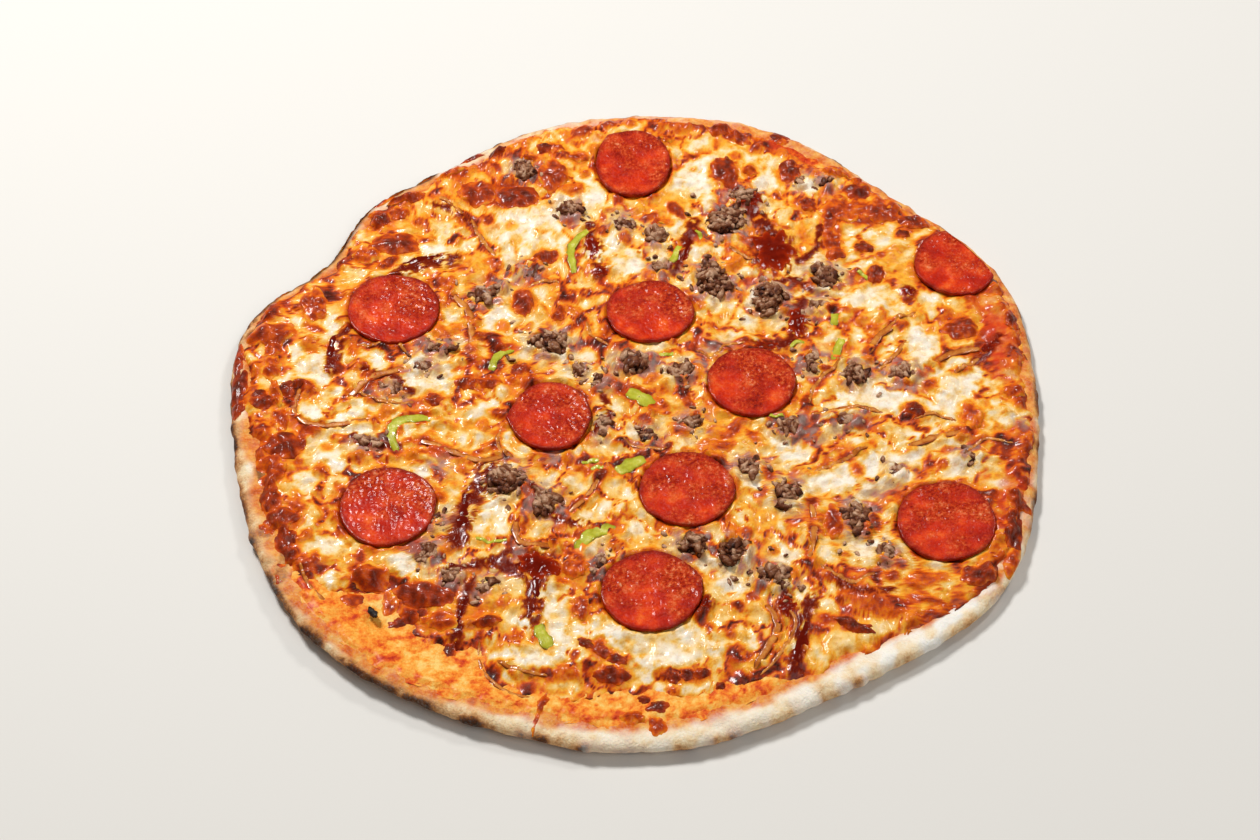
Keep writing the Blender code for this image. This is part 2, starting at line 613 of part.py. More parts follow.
def build_beef(index, lump, collection, draw):
    """A crumbled lump of beef whose underside follows the cheese."""
    bm = bmesh.new()
    bmesh.ops.create_icosphere(bm, subdivisions=2, radius=1.0)
    for vertex in bm.verts:
        rough = 1.0 - BEEF_ROUGHNESS * draw.random()
        x, y = turned_offset(lump, vertex.co.x * rough, vertex.co.y * rough)
        floor = cheese_top(x, y) + GAP
        height = floor + lump.height * (0.3 + 0.7 * vertex.co.z * rough)
        vertex.co = (x, y, max(floor, height))
    return solid(f"beef_{index:02d}", bm, collection, BEEF_PAINT)


def build_pepperoni(index, cut, collection):
    """A slice of pepperoni: a thin disc that follows the cheese, its edge curled up a little."""
    footprint = Lump(cut.x, cut.y, cut.half_length, cut.half_width, 0.0, cut.turn)

    def ring(share, lift):
        points = []
        for angle in sector_angles(PEPPERONI_SECTORS):
            x, y = turned_offset(footprint, *(share * unit(angle)))
            at, inset = polar(x, y)
            if inset < PEPPERONI_LEAST_INSET:
                x, y = spot(at, PEPPERONI_LEAST_INSET)
            curl = PEPPERONI_CURL * share**4
            points.append((x, y, cheese_top(x, y) + PEPPERONI_REST_GAP + curl + lift))
        return points

    bed = cheese_top(cut.x, cut.y) + PEPPERONI_REST_GAP
    shrunk = 1.0 - PEPPERONI_ROUND / cut.half_width
    rings = [
        [(cut.x, cut.y, bed)],
        ring(0.55, 0.0),
        ring(shrunk, 0.0),
        ring(1.0, PEPPERONI_ROUND),
        ring(1.0, PEPPERONI_THICKNESS - PEPPERONI_ROUND),
        ring(shrunk, PEPPERONI_THICKNESS),
        ring(0.55, PEPPERONI_THICKNESS),
        [(cut.x, cut.y, bed + PEPPERONI_THICKNESS)],
    ]
    bm, _ = lofted(rings)
    return solid(f"pepperoni_{index:02d}", bm, collection, PEPPERONI_PAINT)


def build_strand(name, strand, collection, look, rest_gap):
    """A strip on the cheese: a tube along its route, tapered at its tips and pressed flat."""
    flatness = strand.height / strand.width
    points = strand_points(strand)
    curve = bpy.data.curves.new(name, "CURVE")
    curve.dimensions = "3D"
    curve.bevel_depth = 0.5 * strand.width * METRES_PER_MM
    curve.bevel_resolution = 1
    curve.use_fill_caps = True
    spline = curve.splines.new("POLY")
    spline.points.add(len(points) - 1)
    last = len(points) - 1
    for index, (point, place) in enumerate(zip(spline.points, points)):
        height = cheese_top(place.x, place.y) + rest_gap + 0.5 * strand.height * bool(rest_gap)
        point.co = (*(place * METRES_PER_MM), height / flatness * METRES_PER_MM, 1.0)
        point.radius = STRAND_TIP if index in (0, last) else 1.0
    tube = bpy.data.objects.new(name, curve)
    collection.objects.link(tube)
    graph = bpy.context.evaluated_depsgraph_get()
    mesh = bpy.data.meshes.new_from_object(tube.evaluated_get(graph))
    bpy.data.objects.remove(tube)
    bpy.data.curves.remove(curve)
    bm = bmesh.new()
    bm.from_mesh(mesh)
    bpy.data.meshes.remove(mesh)
    bmesh.ops.remove_doubles(bm, verts=bm.verts, dist=1e-6)
    bmesh.ops.transform(bm, matrix=Matrix.Diagonal((1.0, 1.0, flatness, 1.0)), verts=bm.verts)
    bmesh.ops.transform(bm, matrix=Matrix.Scale(1.0 / METRES_PER_MM, 4), verts=bm.verts)
    return solid(name, bm, collection, look)


def main():
    for old in list(bpy.data.objects):
        bpy.data.objects.remove(old)
    pizza = bpy.data.collections.new("pizza")
    bpy.context.scene.collection.children.link(pizza)
    build_crust(pizza)
    build_sauce(pizza)
    build_cheese(pizza)
    for index, cut in enumerate(PEPPERONI, 1):
        build_pepperoni(index, cut, pizza)
    draw = random.Random(RANDOM_SEED)
    for index, lump in enumerate(BEEF, 1):
        build_beef(index, lump, pizza, draw)
    for index, strand in enumerate(GREEN_PEPPER, 1):
        build_strand(f"pepper_{index:02d}", strand, pizza, PEPPER_PAINT, GAP)
    for index, strand in enumerate(ONION, 1):
        build_strand(f"onion_{index:02d}", strand, pizza, ONION_PAINT, GAP)


main()
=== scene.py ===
"""Looks for a thin stone-baked pizza with pepperoni, minced beef, pepper, onion and barbecue sauce.

Sizes and places are in millimetres and angles in degrees, unless a name says otherwise, and meshes are
made in metres. X runs to the right, Y away from the eater and Z up from the flat underside. An inset is a
distance inwards from the rim's outermost edge. The form's numbers are the ones that the solids were built
from.
"""

import logging
import math
from dataclasses import dataclass, field
from enum import Enum
from functools import cached_property
from typing import NamedTuple, Sequence

import bmesh
import bpy
import numpy as np
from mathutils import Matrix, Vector, noise


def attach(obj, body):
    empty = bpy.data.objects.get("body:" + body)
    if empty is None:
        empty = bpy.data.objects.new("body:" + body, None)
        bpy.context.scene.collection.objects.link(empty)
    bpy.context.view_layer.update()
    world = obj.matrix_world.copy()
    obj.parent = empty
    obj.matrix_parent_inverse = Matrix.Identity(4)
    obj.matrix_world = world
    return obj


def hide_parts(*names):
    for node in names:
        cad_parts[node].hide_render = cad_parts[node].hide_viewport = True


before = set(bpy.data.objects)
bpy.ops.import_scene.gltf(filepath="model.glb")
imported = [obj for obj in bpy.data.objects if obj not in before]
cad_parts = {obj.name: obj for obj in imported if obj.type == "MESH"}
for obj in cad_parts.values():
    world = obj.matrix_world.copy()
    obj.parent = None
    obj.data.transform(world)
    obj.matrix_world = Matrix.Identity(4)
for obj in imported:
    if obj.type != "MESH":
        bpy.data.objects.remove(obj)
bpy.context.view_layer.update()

Array = np.ndarray
Route = tuple[tuple[float, float], ...]
Stops = tuple[tuple[float, str], ...]
Socket = bpy.types.NodeSocket
MAP_PER_MM = 0.98 / 340.0
METRES_PER_MM = 0.001
BODY = "root"
LOG = logging.getLogger("pizza")


class Slot(Enum):
    """The material slots."""

    DOUGH = "baked_dough"
    TOMATO = "tomato_sauce"
    CHEESE = "melted_cheese"
    PEPPERONI = "pepperoni"
    BEEF = "minced_beef"
    PEPPER = "green_pepper"
    ONION = "cooked_onion"
    BARBECUE = "barbecue_sauce"


class Mark(NamedTuple):
    """An oval patch, as read: its middle, half length, half width, strength and turn."""

    x: float
    y: float
    half_length: float
    half_width: float
    strength: float = 1.0
    turn: float = 0.0


class Lump(NamedTuple):
    """A rounded lump: its middle, half length, half width, height and turn."""

    x: float
    y: float
    half_length: float
    half_width: float
    height: float
    turn: float = 0.0


class Strand(NamedTuple):
    """A strip that lies on the cheese: its width, its height and the places it passes through."""

    width: float
    height: float
    route: Route


def table(kind: type, *rows: tuple) -> tuple:
    """Patches, lumps or strands of one kind, from a row of numbers for each."""
    return tuple(kind(*row) for row in rows)


def ease(amount: Array) -> Array:
    """A smooth step from 0 to 1."""
    held = np.clip(amount, 0.0, 1.0)
    return held * held * (3.0 - 2.0 * held)


def linear(colour: str) -> tuple[float, float, float, float]:
    """A colour in linear light.

    Args:
        colour: The sRGB colour in hex, such as "#F4E2BD".

    Returns:
        Red, green, blue and an alpha of 1.
    """
    parts = [int(colour[start : start + 2], 16) / 255.0 for start in (1, 3, 5)]
    red, green, blue = (p / 12.92 if p <= 0.04045 else ((p + 0.055) / 1.055) ** 2.4 for p in parts)
    return red, green, blue, 1.0


def share_out(mark: Mark | Lump, x: Array, y: Array) -> Array:
    """How far out places lie on an oval: 0 at its middle and 1 at its edge."""
    turn = math.radians(mark.turn)
    dx, dy = x - mark.x, y - mark.y
    along = (dx * math.cos(turn) + dy * math.sin(turn)) / mark.half_length
    across = (dy * math.cos(turn) - dx * math.sin(turn)) / mark.half_width
    return np.hypot(along, across)


def placed(lump: Mark | Lump, along: Array, across: Array) -> tuple[Array, Array]:
    """The places at distances along and across an oval from its middle."""
    turn = math.radians(lump.turn)
    x = lump.x + along * math.cos(turn) - across * math.sin(turn)
    return x, lump.y + along * math.sin(turn) + across * math.cos(turn)


def close_to(mark: Mark, x: Array, y: Array, reach: float) -> Array:
    """Which places lie in the square that reaches so far each way from a patch's middle."""
    return np.nonzero((np.abs(x - mark.x) < reach) & (np.abs(y - mark.y) < reach))[0]


def bump(apart: Array, width: float) -> Array:
    """A smooth bump: 1 where nothing lies between, and falling away over a width."""
    return np.exp(-((apart / width) ** 2))


def round_angles(count: int) -> Array:
    """Even angles all the way round, in degrees."""
    return np.arange(count) * 360.0 / count


def spread(marks: Sequence[Mark], x: Array, y: Array, waver: Array, softness: float) -> Array:
    """How strongly a set of patches covers each place.

    Args:
        marks: The patches.
        x: The places' x.
        y: The places' y.
        waver: What is added to each place's share, so that the patches' edges wander.
        softness: The share over which a patch fades out.

    Returns:
        The strongest patch's strength at each place, faded at its edge.
    """
    total = np.zeros_like(x)
    for mark in marks:
        near = close_to(mark, x, y, (1.6 + softness) * max(mark.half_length, mark.half_width))
        share = share_out(mark, x[near], y[near]) + waver[near]
        cover = mark.strength * ease((1.0 + 0.5 * softness - share) / softness)
        total[near] = np.maximum(total[near], cover)
    return total


class Grain:
    """Seeded gradient noise on the level plane."""

    def __init__(self, seed: int) -> None:
        """Draws the tables.

        Args:
            seed: What the draws start from.
        """
        draw = np.random.default_rng(seed)
        self.order = np.tile(draw.permutation(256), 3)
        turns = draw.uniform(0.0, 2.0 * np.pi, 256)
        self.slopes = np.stack([np.cos(turns), np.sin(turns)], axis=-1)
        self.shares = draw.uniform(0.0, 1.0, (256, 3))

    def corner(self, column: Array, row: Array) -> Array:
        """The table entry that belongs to a corner of the grid."""
        return self.order[self.order[column % 256] + row % 256]

    def at(self, x: Array, y: Array, size: float) -> Array:
        """Smooth noise from about -1 to 1.

        Args:
            x: The places' x.
            y: The places' y.
            size: The distance over which it changes.

        Returns:
            The noise at each place.
        """
        u, v = x / size, y / size
        column, row = np.floor(u).astype(int), np.floor(v).astype(int)
        across, along = u - column, v - row
        pulls = []
        for dx, dy in ((0, 0), (1, 0), (0, 1), (1, 1)):
            slope = self.slopes[self.corner(column + dx, row + dy)]
            pulls.append(slope[..., 0] * (across - dx) + slope[..., 1] * (along - dy))
        blend_x = across**3 * (across * (across * 6.0 - 15.0) + 10.0)
        blend_y = along**3 * (along * (along * 6.0 - 15.0) + 10.0)
        near = pulls[0] + blend_x * (pulls[1] - pulls[0])
        far = pulls[2] + blend_x * (pulls[3] - pulls[2])
        return 1.5 * (near + blend_y * (far - near))

    def layered(self, x: Array, y: Array, size: float, layers: int = 4) -> Array:
        """Noise with finer and weaker noise added over it."""
        shifts = [(31.7 * layer, -17.3 * layer, 2.0**layer) for layer in range(layers)]
        return sum(self.at(x + dx, y + dy, size / finer) / finer for dx, dy, finer in shifts)

    def mounds(self, x: Array, y: Array, size: float) -> Array:
        """Round mounds with creases between them, from 0 in a crease to 1."""
        return 1.6 * np.sqrt(self.at(x, y, size) ** 2 + 0.004)

    def cells(self, x: Array, y: Array, size: float) -> tuple[Array, Array, Array]:
        """Scattered points, one in each square of the grid.

        Args:
            x: The places' x.
            y: The places' y.
            size: The side of a square.

        Returns:
            The distances to the nearest and the second nearest point, and the nearest one's own share.
        """
        u, v = x / size, y / size
        column, row = np.floor(u).astype(int), np.floor(v).astype(int)
        nearest = np.full(x.shape, 9.0)
        second = np.full(x.shape, 9.0)
        own = np.zeros(x.shape)
        for dx in (-1, 0, 1):
            for dy in (-1, 0, 1):
                shares = self.shares[self.corner(column + dx, row + dy)]
                apart = np.hypot(column + dx + shares[..., 0] - u, row + dy + shares[..., 1] - v)
                closer = apart < nearest
                second = np.where(closer, nearest, np.minimum(second, apart))
                own = np.where(closer, shares[..., 2], own)
                nearest = np.where(closer, apart, nearest)
        return nearest * size, second * size, own


@dataclass(frozen=True)
class Round:
    """A smooth closed curve of a value against the angle round the pizza."""

    stations: tuple[tuple[float, float], ...]

    def at(self, angle: Array) -> Array:
        """The value at each angle."""
        starts = np.array([station[0] for station in self.stations])
        values = np.array([station[1] for station in self.stations])
        turned = np.mod(angle, 360.0)
        index = np.maximum(np.searchsorted(starts, turned, side="right") - 1, 0)
        count = len(starts)
        before, start, end, after = (values[(index + step) % count] for step in (-1, 0, 1, 2))
        span = (starts[(index + 1) % count] - starts[index]) % 360.0
        part = (turned - starts[index]) / span
        slope_start = (end - before) / 2.0
        slope_end = (after - start) / 2.0
        bend = 3.0 * (end - start) - 2.0 * slope_start - slope_end
        twist = 2.0 * (start - end) + slope_start + slope_end
        return start + part * (slope_start + part * (bend + part * twist))


PEPPERONI = table(
    Lump,
    (0, 127, 16.8, 19.8, 1.9), (-99.5, 45, 19, 18.5, 1.9), (7, 43.5, 18.3, 16.3, 1.9),
    (48, 6.5, 18, 17.5, 1.9), (-33, -10.5, 16.5, 18, 1.9, 10), (-96, -55, 19, 18.5, 1.9),
    (21, -46.5, 18.8, 17.8, 1.9, -5), (6.5, -94, 19.5, 18, 1.9), (121, -62, 19, 18.5, 1.9, 15),
    (136, 70, 17.5, 17.5, 1.9),
)
BEEF = table(
    Lump,
    (40, 94, 8, 9, 6), (47, 108, 6, 4.6, 4.5), (33, 61, 8.2, 9.5, 6, 20), (57, 51, 7.6, 8.4, 6.5),
    (80, 63, 7, 7.6, 5.5), (10.5, 86, 4.4, 5.4, 4), (-27, 101, 5, 5, 4), (-34, 27, 8, 6.6, 5.5, -15),
    (0, 17, 7.6, 5.6, 5), (20, 13, 6.6, 4, 4, 10), (-50, -42, 7.6, 7.6, 5.5), (-35, -52.5, 5.6, 6.6, 5),
    (23, -73, 6.4, 5.2, 6.5), (38, -76, 6.2, 7, 6.5), (54, -88, 6, 6, 6), (60, -48, 6.6, 6.6, 4.5),
    (46, -35, 5, 4.6, 4), (62, -16, 5, 5.6, 4.5), (90, 12, 6, 6.6, 5), (110, 12, 5.6, 4.6, 4),
    (87, -60, 5.8, 7.6, 5), (-60, 54, 7.8, 4, 4, 35), (-48, 124, 5, 5.8, 4.5),
)
BEEF_CRUMBS = table(
    Lump,
    (77, 47, 4, 3.4, 3), (-5, 92, 4, 4.6, 3), (12, 68, 4, 3.6, 3), (-46, 66, 4.6, 3.8, 3),
    (-22, 14, 3.6, 3.4, 2.6), (-79, 25, 6.6, 3.6, 3.2), (-14, 8, 3.4, 3.2, 2.6), (-12.4, -14, 2.4, 6.6, 3),
    (5, -20, 3.8, 3.2, 2.8), (24, -14, 3.8, 4.4, 3.2), (73, 18, 4.4, 4.4, 3.2), (85, -12, 5.6, 3.8, 3.2),
    (103, -38, 3.6, 3.8, 2.8), (97.5, -76, 3.4, 4.2, 2.8), (133, -31, 4.4, 4.2, 3), (-79, -76, 4.6, 3.8, 3),
    (-70, -86, 4.2, 3.6, 3), (-96, 3, 3.8, 3.6, 2.8), (-105, -23, 4.6, 3, 2.8), (-12, -80, 3, 3.2, 2.6),
    (75, 118, 3.8, 3, 2.6), (84, 117, 3, 3, 2.4), (-86, 15, 4, 3, 2.4), (-76, -62, 3.4, 3, 2.4),
    (-57, -91, 4, 3.4, 2.6),
)
GREEN_PEPPER = table(
    Strand,
    (2.6, 1.8, ((-18, 91), (-26, 80), (-25, 65))), (3, 1.8, ((-58, 13), (-56, 20), (-49, 25))),
    (3, 1.8, ((-80, -11), (-92, -12), (-97, -18), (-94, -28))), (4.6, 2, ((-3, 3), (3, -1), (10, -6))),
    (4.4, 1.8, ((-7, -38), (-1, -34), (5, -31))), (3.8, 2.2, ((-22, -75), (-16, -67), (-6, -65))),
    (3.8, 2, ((-36, -108), (-34, -114), (-31, -119))), (3, 1.8, ((86, 31), (84, 25), (82, 18))),
    (3, 1.6, ((83.5, 44), (83.5, 41), (83, 37))), (2.6, 1.6, ((20, 81), (18, 76), (16, 71))),
)
ONION = table(
    Strand,
    (3.4, 1.6, ((-77, 55), (-68, 42), (-66, 20))), (3.4, 1.6, ((-93, 14), (-107, 9), (-115, -1))),
    (2.6, 1.4, ((-135, 5), (-136, -9), (-125, -15), (-106, -12))),
    (2.6, 1.4, ((-87, -22), (-78, -25), (-62, -32), (-51, -30))),
    (2.4, 1.4, ((-12, -36), (-17, -48), (-26, -58))), (2.8, 1.6, ((-46, -60), (-44, -71), (-31, -73))),
    (3, 1.6, ((50, -99), (54, -110), (45, -127))), (3, 1.6, ((69.5, -52), (70, -66), (67, -80))),
    (3, 1.6, ((108, -26), (123, -20), (136, -18))), (3.4, 1.6, ((96, 22), (102, 32), (111, 39))),
    (3, 1.6, ((121, 15), (129, 21), (143, 25))),
)
# Finer shreds, which sink into the cheese
PEPPER_SHREDS = table(
    Strand,
    (2.6, 1.2, ((-21, -34), (-17, -32), (-13, -32))), (1.8, 1, ((-62, -69), (-55, -71), (-48, -70))),
    (2.2, 1, ((64, 25), (67, 28), (71, 28))), (2.6, 1.2, ((10, 21), (13, 22), (17, 22))),
    (1.8, 1, ((54, -10), (57, -11), (61, -11))), (2.2, 1.1, ((94, 66), (97, 64), (99, 61))),
    (2, 1, ((26, 89), (28, 87), (29, 83))), (2.6, 1.2, ((-17, -37), (-14, -35), (-11, -36))),
)
ONION_SHREDS = table(
    Strand,
    (2.2, 1.1, ((-52, -124), (-42, -128), (-30, -130))),
    (1.6, 1, ((-58, -112), (-57, -125), (-48, -136), (-32, -141))),
    (2, 1.1, ((-53, -15), (-54, -25), (-47, -32))), (2.4, 1.2, ((70, -80), (82, -89), (93, -85))),
    (2.2, 1.1, ((86, 18), (75, 8), (70, -5))), (2, 1.1, ((70, -10), (86, -6), (103, -8))),
    (2.4, 1.1, ((70, -38), (82, -32), (95, -24))), (2, 1.1, ((131, -30), (140, -22), (152, -23))),
    (2.2, 1.1, ((98, 12), (106, 20), (113, 30))), (2.4, 1.2, ((103, 35), (110, 40), (118, 44))),
    (2.2, 1.1, ((130, 12), (136, 15), (142, 20))), (2.2, 1.2, ((-70, 97), (-65, 85), (-57, 73))),
    (2, 1.1, ((-45, 57), (-38, 61), (-30, 60))), (2, 1.1, ((40, 80), (46, 75), (52, 72))),
    (2.6, 1.2, ((-86, 110), (-79, 105), (-73, 98))), (2.2, 1.1, ((-128, -80), (-124, -90), (-117, -98))),
    (1.8, 1, ((-116, 6), (-108, 0), (-96, -4), (-86, -2))),
    (2, 1, ((-118, 30), (-110, 26), (-98, 27), (-90, 20))),
    (1.8, 1, ((25, 25), (32, 20), (38, 26), (47, 28))), (1.8, 1, ((-20, 40), (-16, 30), (-8, 26))),
    (1.8, 1, ((56, -98), (61, -108), (54, -122), (46, -130))), (1.8, 1, ((-5, -22), (4, -26), (14, -26))),
    (1.8, 1, ((112, -12), (120, -9), (130, -13))),
)
BARBECUE_POOLS = table(
    Lump,
    (59, 79, 8.4, 11.4, 1.5), (-37, -82, 7.6, 5.8, 1.3), (68, 39, 3.4, 6.6, 1.1), (50, 107, 5, 3.6, 0.9),
    (54, 26, 4.5, 2.6, 0.9), (27, -99, 2.4, 2.6, 0.7), (58, -101, 3.6, 4.2, 0.9), (-17, 80, 3, 5, 0.8),
    (-14, 66, 2.6, 3, 0.7), (145, 25, 5, 2, 0.7, 45), (115, 55, 2.6, 2.6, 0.7),
)
BARBECUE_TRAILS = table(
    Strand,
    (5, 1.8, ((-65, -46), (-66, -57), (-68, -68))), (3.6, 1.6, ((-50, -82), (-38, -84), (-37, -101))),
    (3, 1.6, ((-63, -94), (-65, -102), (-68, -112))), (5.2, 1.7, ((66, -102), (62, -118), (60, -129))),
    (3.6, 1.6, ((-122, 33), (-124, 26), (-124, 18))), (4, 1.6, ((-98, 70), (-88, 74), (-78, 75))),
    (3, 1, ((25, 90), (23, 80), (20, 71))),
)
# Barbecue sauce that has run thin over the cheese
BARBECUE_RUNS = table(
    Strand,
    (6, 0, ((-58, -36), (-62, -48), (-66, -58), (-68, -70))), (5, 0, ((-54, -80), (-44, -84), (-33, -85))),
    (5.5, 0, ((-37, -82), (-37, -92), (-39, -106))), (3.4, 0, ((-62, -88), (-65, -102), (-67, -116))),
    (4.4, 0, ((67, -98), (62, -116), (60, -134))), (4.2, 0, ((-117, 36), (-122, 27), (-123, 14))),
    (5, 0, ((-102, 61), (-92, 70), (-76, 73))), (4, 0, ((26, 94), (22, 80), (18, 67))),
    (6, 0, ((46, 110), (54, 96), (60, 84), (62, 68))), (3, 0, ((57, -95), (58, -102), (64, -108))),
    (3.4, 0, ((140, 18), (147, 25), (151, 32))), (4, 0, ((70, 50), (68, 40), (64, 28), (52, 26))),
    (3.4, 0, ((-18, 92), (-18, 80), (-14, 64))), (3, 0, ((-70, -84), (-56, -80), (-48, -76))),
    (3, 0, ((-112, -20), (-104, -25), (-94, -25))), (2.4, 0, ((-40, -44), (-30, -60), (-18, -62))),
    (2.4, 0, ((70, 72), (78, 80), (80, 92))), (2.4, 0, ((-86, 104), (-76, 100), (-68, 92))),
    (2.4, 0, ((-110, 14), (-98, 10), (-90, 2))), (2.6, 0, ((-16, -18), (-10, -10), (-12, 0))),
    (2.2, 0, ((78, -90), (88, -94), (98, -92))), (2.4, 0, ((60, 60), (68, 62), (74, 56))),
)
# Cheese that has run over the rim or stands up from it, browned
RIM_CHEESE = table(
    Lump,
    (-162.6, 21, 11, 3.6, 1.5, 92), (-160.2, 5.5, 10, 3.8, 1.5, 84), (-159.5, -6, 5.5, 2.8, 1.8, 80),
    (-151.5, 0, 3.4, 3, 1.3), (-144.7, 2, 7, 2.6, 1.6, 110), (-142.8, -48.7, 7.5, 4, 1.3, 100),
    (-140.5, -61.5, 4.4, 3.6, 1.3, 60), (-134.7, -72, 9, 3.6, 1.3, 100), (-0.3, -147.6, 4.6, 3.4, 1.7, 22),
    (8.8, -151, 4.4, 3.6, 1.7, 95), (9, -143, 4.4, 3, 1.5, 2), (3.6, -139.5, 2.6, 2.2, 1.2, 30),
    (-35, -146, 9.5, 1.3, 0.7, 74), (-33.5, -141, 3, 2, 1, 60), (32.3, -133.7, 2, 1.9, 1.2),
    (82.5, -108.5, 8, 2.6, 1.7, -24), (157, 40, 5.5, 3.4, 1.8, 80), (151.5, -52, 7, 2.8, 1.9, -50),
    (147.8, -66, 10.5, 3.4, 1.5, 84), (146, -79, 8, 4.4, 1.7, 76), (131.5, -86, 7.5, 4.6, 1.4, 10),
    (90, 125, 6.5, 3.2, 1.8, -30), (99, 117, 4.5, 3, 1.6, -30), (66, 143.5, 4, 2.4, 1.4, -24),
    (-121.5, 101, 7.5, 2.6, 1.8, 48), (-112, 107, 9, 3.2, 1.9, 32), (-98, 108, 8, 3, 1.8, 20),
    (-79.1, 124, 8.5, 3, 1.8, 24), (-60, 135, 4.5, 2.2, 1.3, 20), (-104.5, 114.5, 6.5, 2.8, 1.8, 38),
    (-90, 124, 6, 2.6, 1.7, 34), (-71, 134, 6, 2.4, 1.6, 24), (-118, 103.5, 4.5, 2.6, 1.7, 48),
    (-127, 92.5, 5.5, 2.6, 1.7, 55), (-128, 84, 6, 2.4, 1.6, 60), (-136, 70, 5, 2.4, 1.6, 50),
    (-149, 56, 5, 2.6, 1.6, 60),
)
SEED = Lump(-98.5, -103, 3.0, 1.5, 1.1, 68)

# Browned and blistered skin
BROWNED = table(
    Mark,
    (-59, 110, 17, 7.5, 0.95, -5), (-101, 82, 9, 6, 0.9), (-113, 75, 5, 5, 0.8), (-105, 97, 9, 4, 0.75, 35),
    (-133, 48, 6, 8, 0.8), (-35, 121, 7, 9, 0.8), (-45, 131, 4, 3, 0.7), (-36, 137, 6, 3, 0.8),
    (-24, 132, 5, 3, 0.7), (-27, 146, 5, 2, 0.6), (-19, 154, 3, 2, 0.6), (-3, 156, 3, 2, 0.6),
    (42, 147, 10, 3.5, 0.95, -30), (25, 154, 6, 2, 0.7), (15, 143, 3, 3, 0.7), (65, 147, 5, 5, 0.6),
    (87, 124, 5, 4, 0.95), (105, 120, 2, 2, 1.1), (40, 123, 6, 8, 0.9), (51, 124, 3, 3, 0.7),
    (68, 124, 5, 7, 0.75), (97, 112, 6, 5, 0.8), (98, 99, 17, 7, 0.9), (85, 90, 4, 12, 0.75),
    (86, 77, 4, 4, 0.6), (120, 94, 7, 4, 0.8), (115, 87, 3, 3, 0.9), (102, 65, 4, 5, 0.65),
    (98, 80, 4, 4, 0.7), (75, 104, 4, 4, 0.6), (12, 94, 4, 3, 0.7), (-31, 43, 3, 4, 0.7),
    (-46, 49, 5, 7, 0.7), (-54, 37, 2, 2, 0.6), (-46, 14, 4, 4, 0.65), (-37, 75, 5, 4, 0.65),
    (-81, -2, 4, 4, 0.65), (-63, 7, 9, 4, 0.7), (-149, 32, 11, 6, 1), (-147, 20, 4, 10, 0.8),
    (-145, 0, 4, 10, 0.8, -60), (-152, -2, 3, 3, 0.8), (-142, -12, 4, 6, 0.8), (-139, -25, 8, 8, 0.85),
    (-143, -37, 6, 8, 0.95), (-141, -52, 4, 6, 0.8), (-137, -60, 7, 6, 0.85), (-143, -65, 4, 4, 0.8),
    (-133, -73, 4, 8, 0.8), (-135, -85, 3, 6, 0.8), (-101, -87, 8, 6, 0.8), (-107, -96, 5, 3.5, 0.75),
    (-93, -97, 4, 5, 0.75), (-80, -95, 10, 6, 0.85), (-85, -103, 4, 4, 0.75), (-89, -106, 4, 2.5, 0.7),
    (-73, -106, 7, 4, 0.8), (-82, -116, 2, 2, 0.8), (-69, -118, 2.5, 3, 0.8), (-55, -107, 5, 3, 0.75),
    (-20, -101, 4, 5, 0.75), (-22, -83, 5, 5, 0.7), (-12, -120, 10, 2.5, 0.7, -25), (-8, -130, 7, 4, 0.9),
    (20, -130, 8, 2.5, 0.75, 10), (33, -135, 2, 2, 0.7), (78, -62, 5, 7, 0.7), (113, -7, 4, 4, 0.7),
    (136, -10, 5, 7, 0.75), (135, 35, 7, 6, 0.75), (154, 3, 4, 4, 0.75), (148, -60, 3.5, 13, 0.8, -12),
)
# Wrinkled brown skin, lower than the blisters
WRINKLED = table(
    Mark,
    (91, -98, 15, 6, 0.85, -18), (111, -88, 9, 3.5, 0.8, 12), (106, -106, 3, 7, 0.7, 10),
)
# Smooth cheese with no small blisters
CALM = table(
    Mark,
    (82, -117, 22, 9.5, 1, 22), (16, -117, 24, 8.5), (-27, -108, 11, 12), (-54, -60, 5, 8),
    (-45, 97, 13, 7), (100, 53, 11, 7), (118, 22, 8, 9), (112, -27, 15, 5, 1, 15), (-130, 15, 7, 10),
    (-48, 42, 11, 7), (-125, -27, 8, 7), (-82, 10, 8, 9),
)
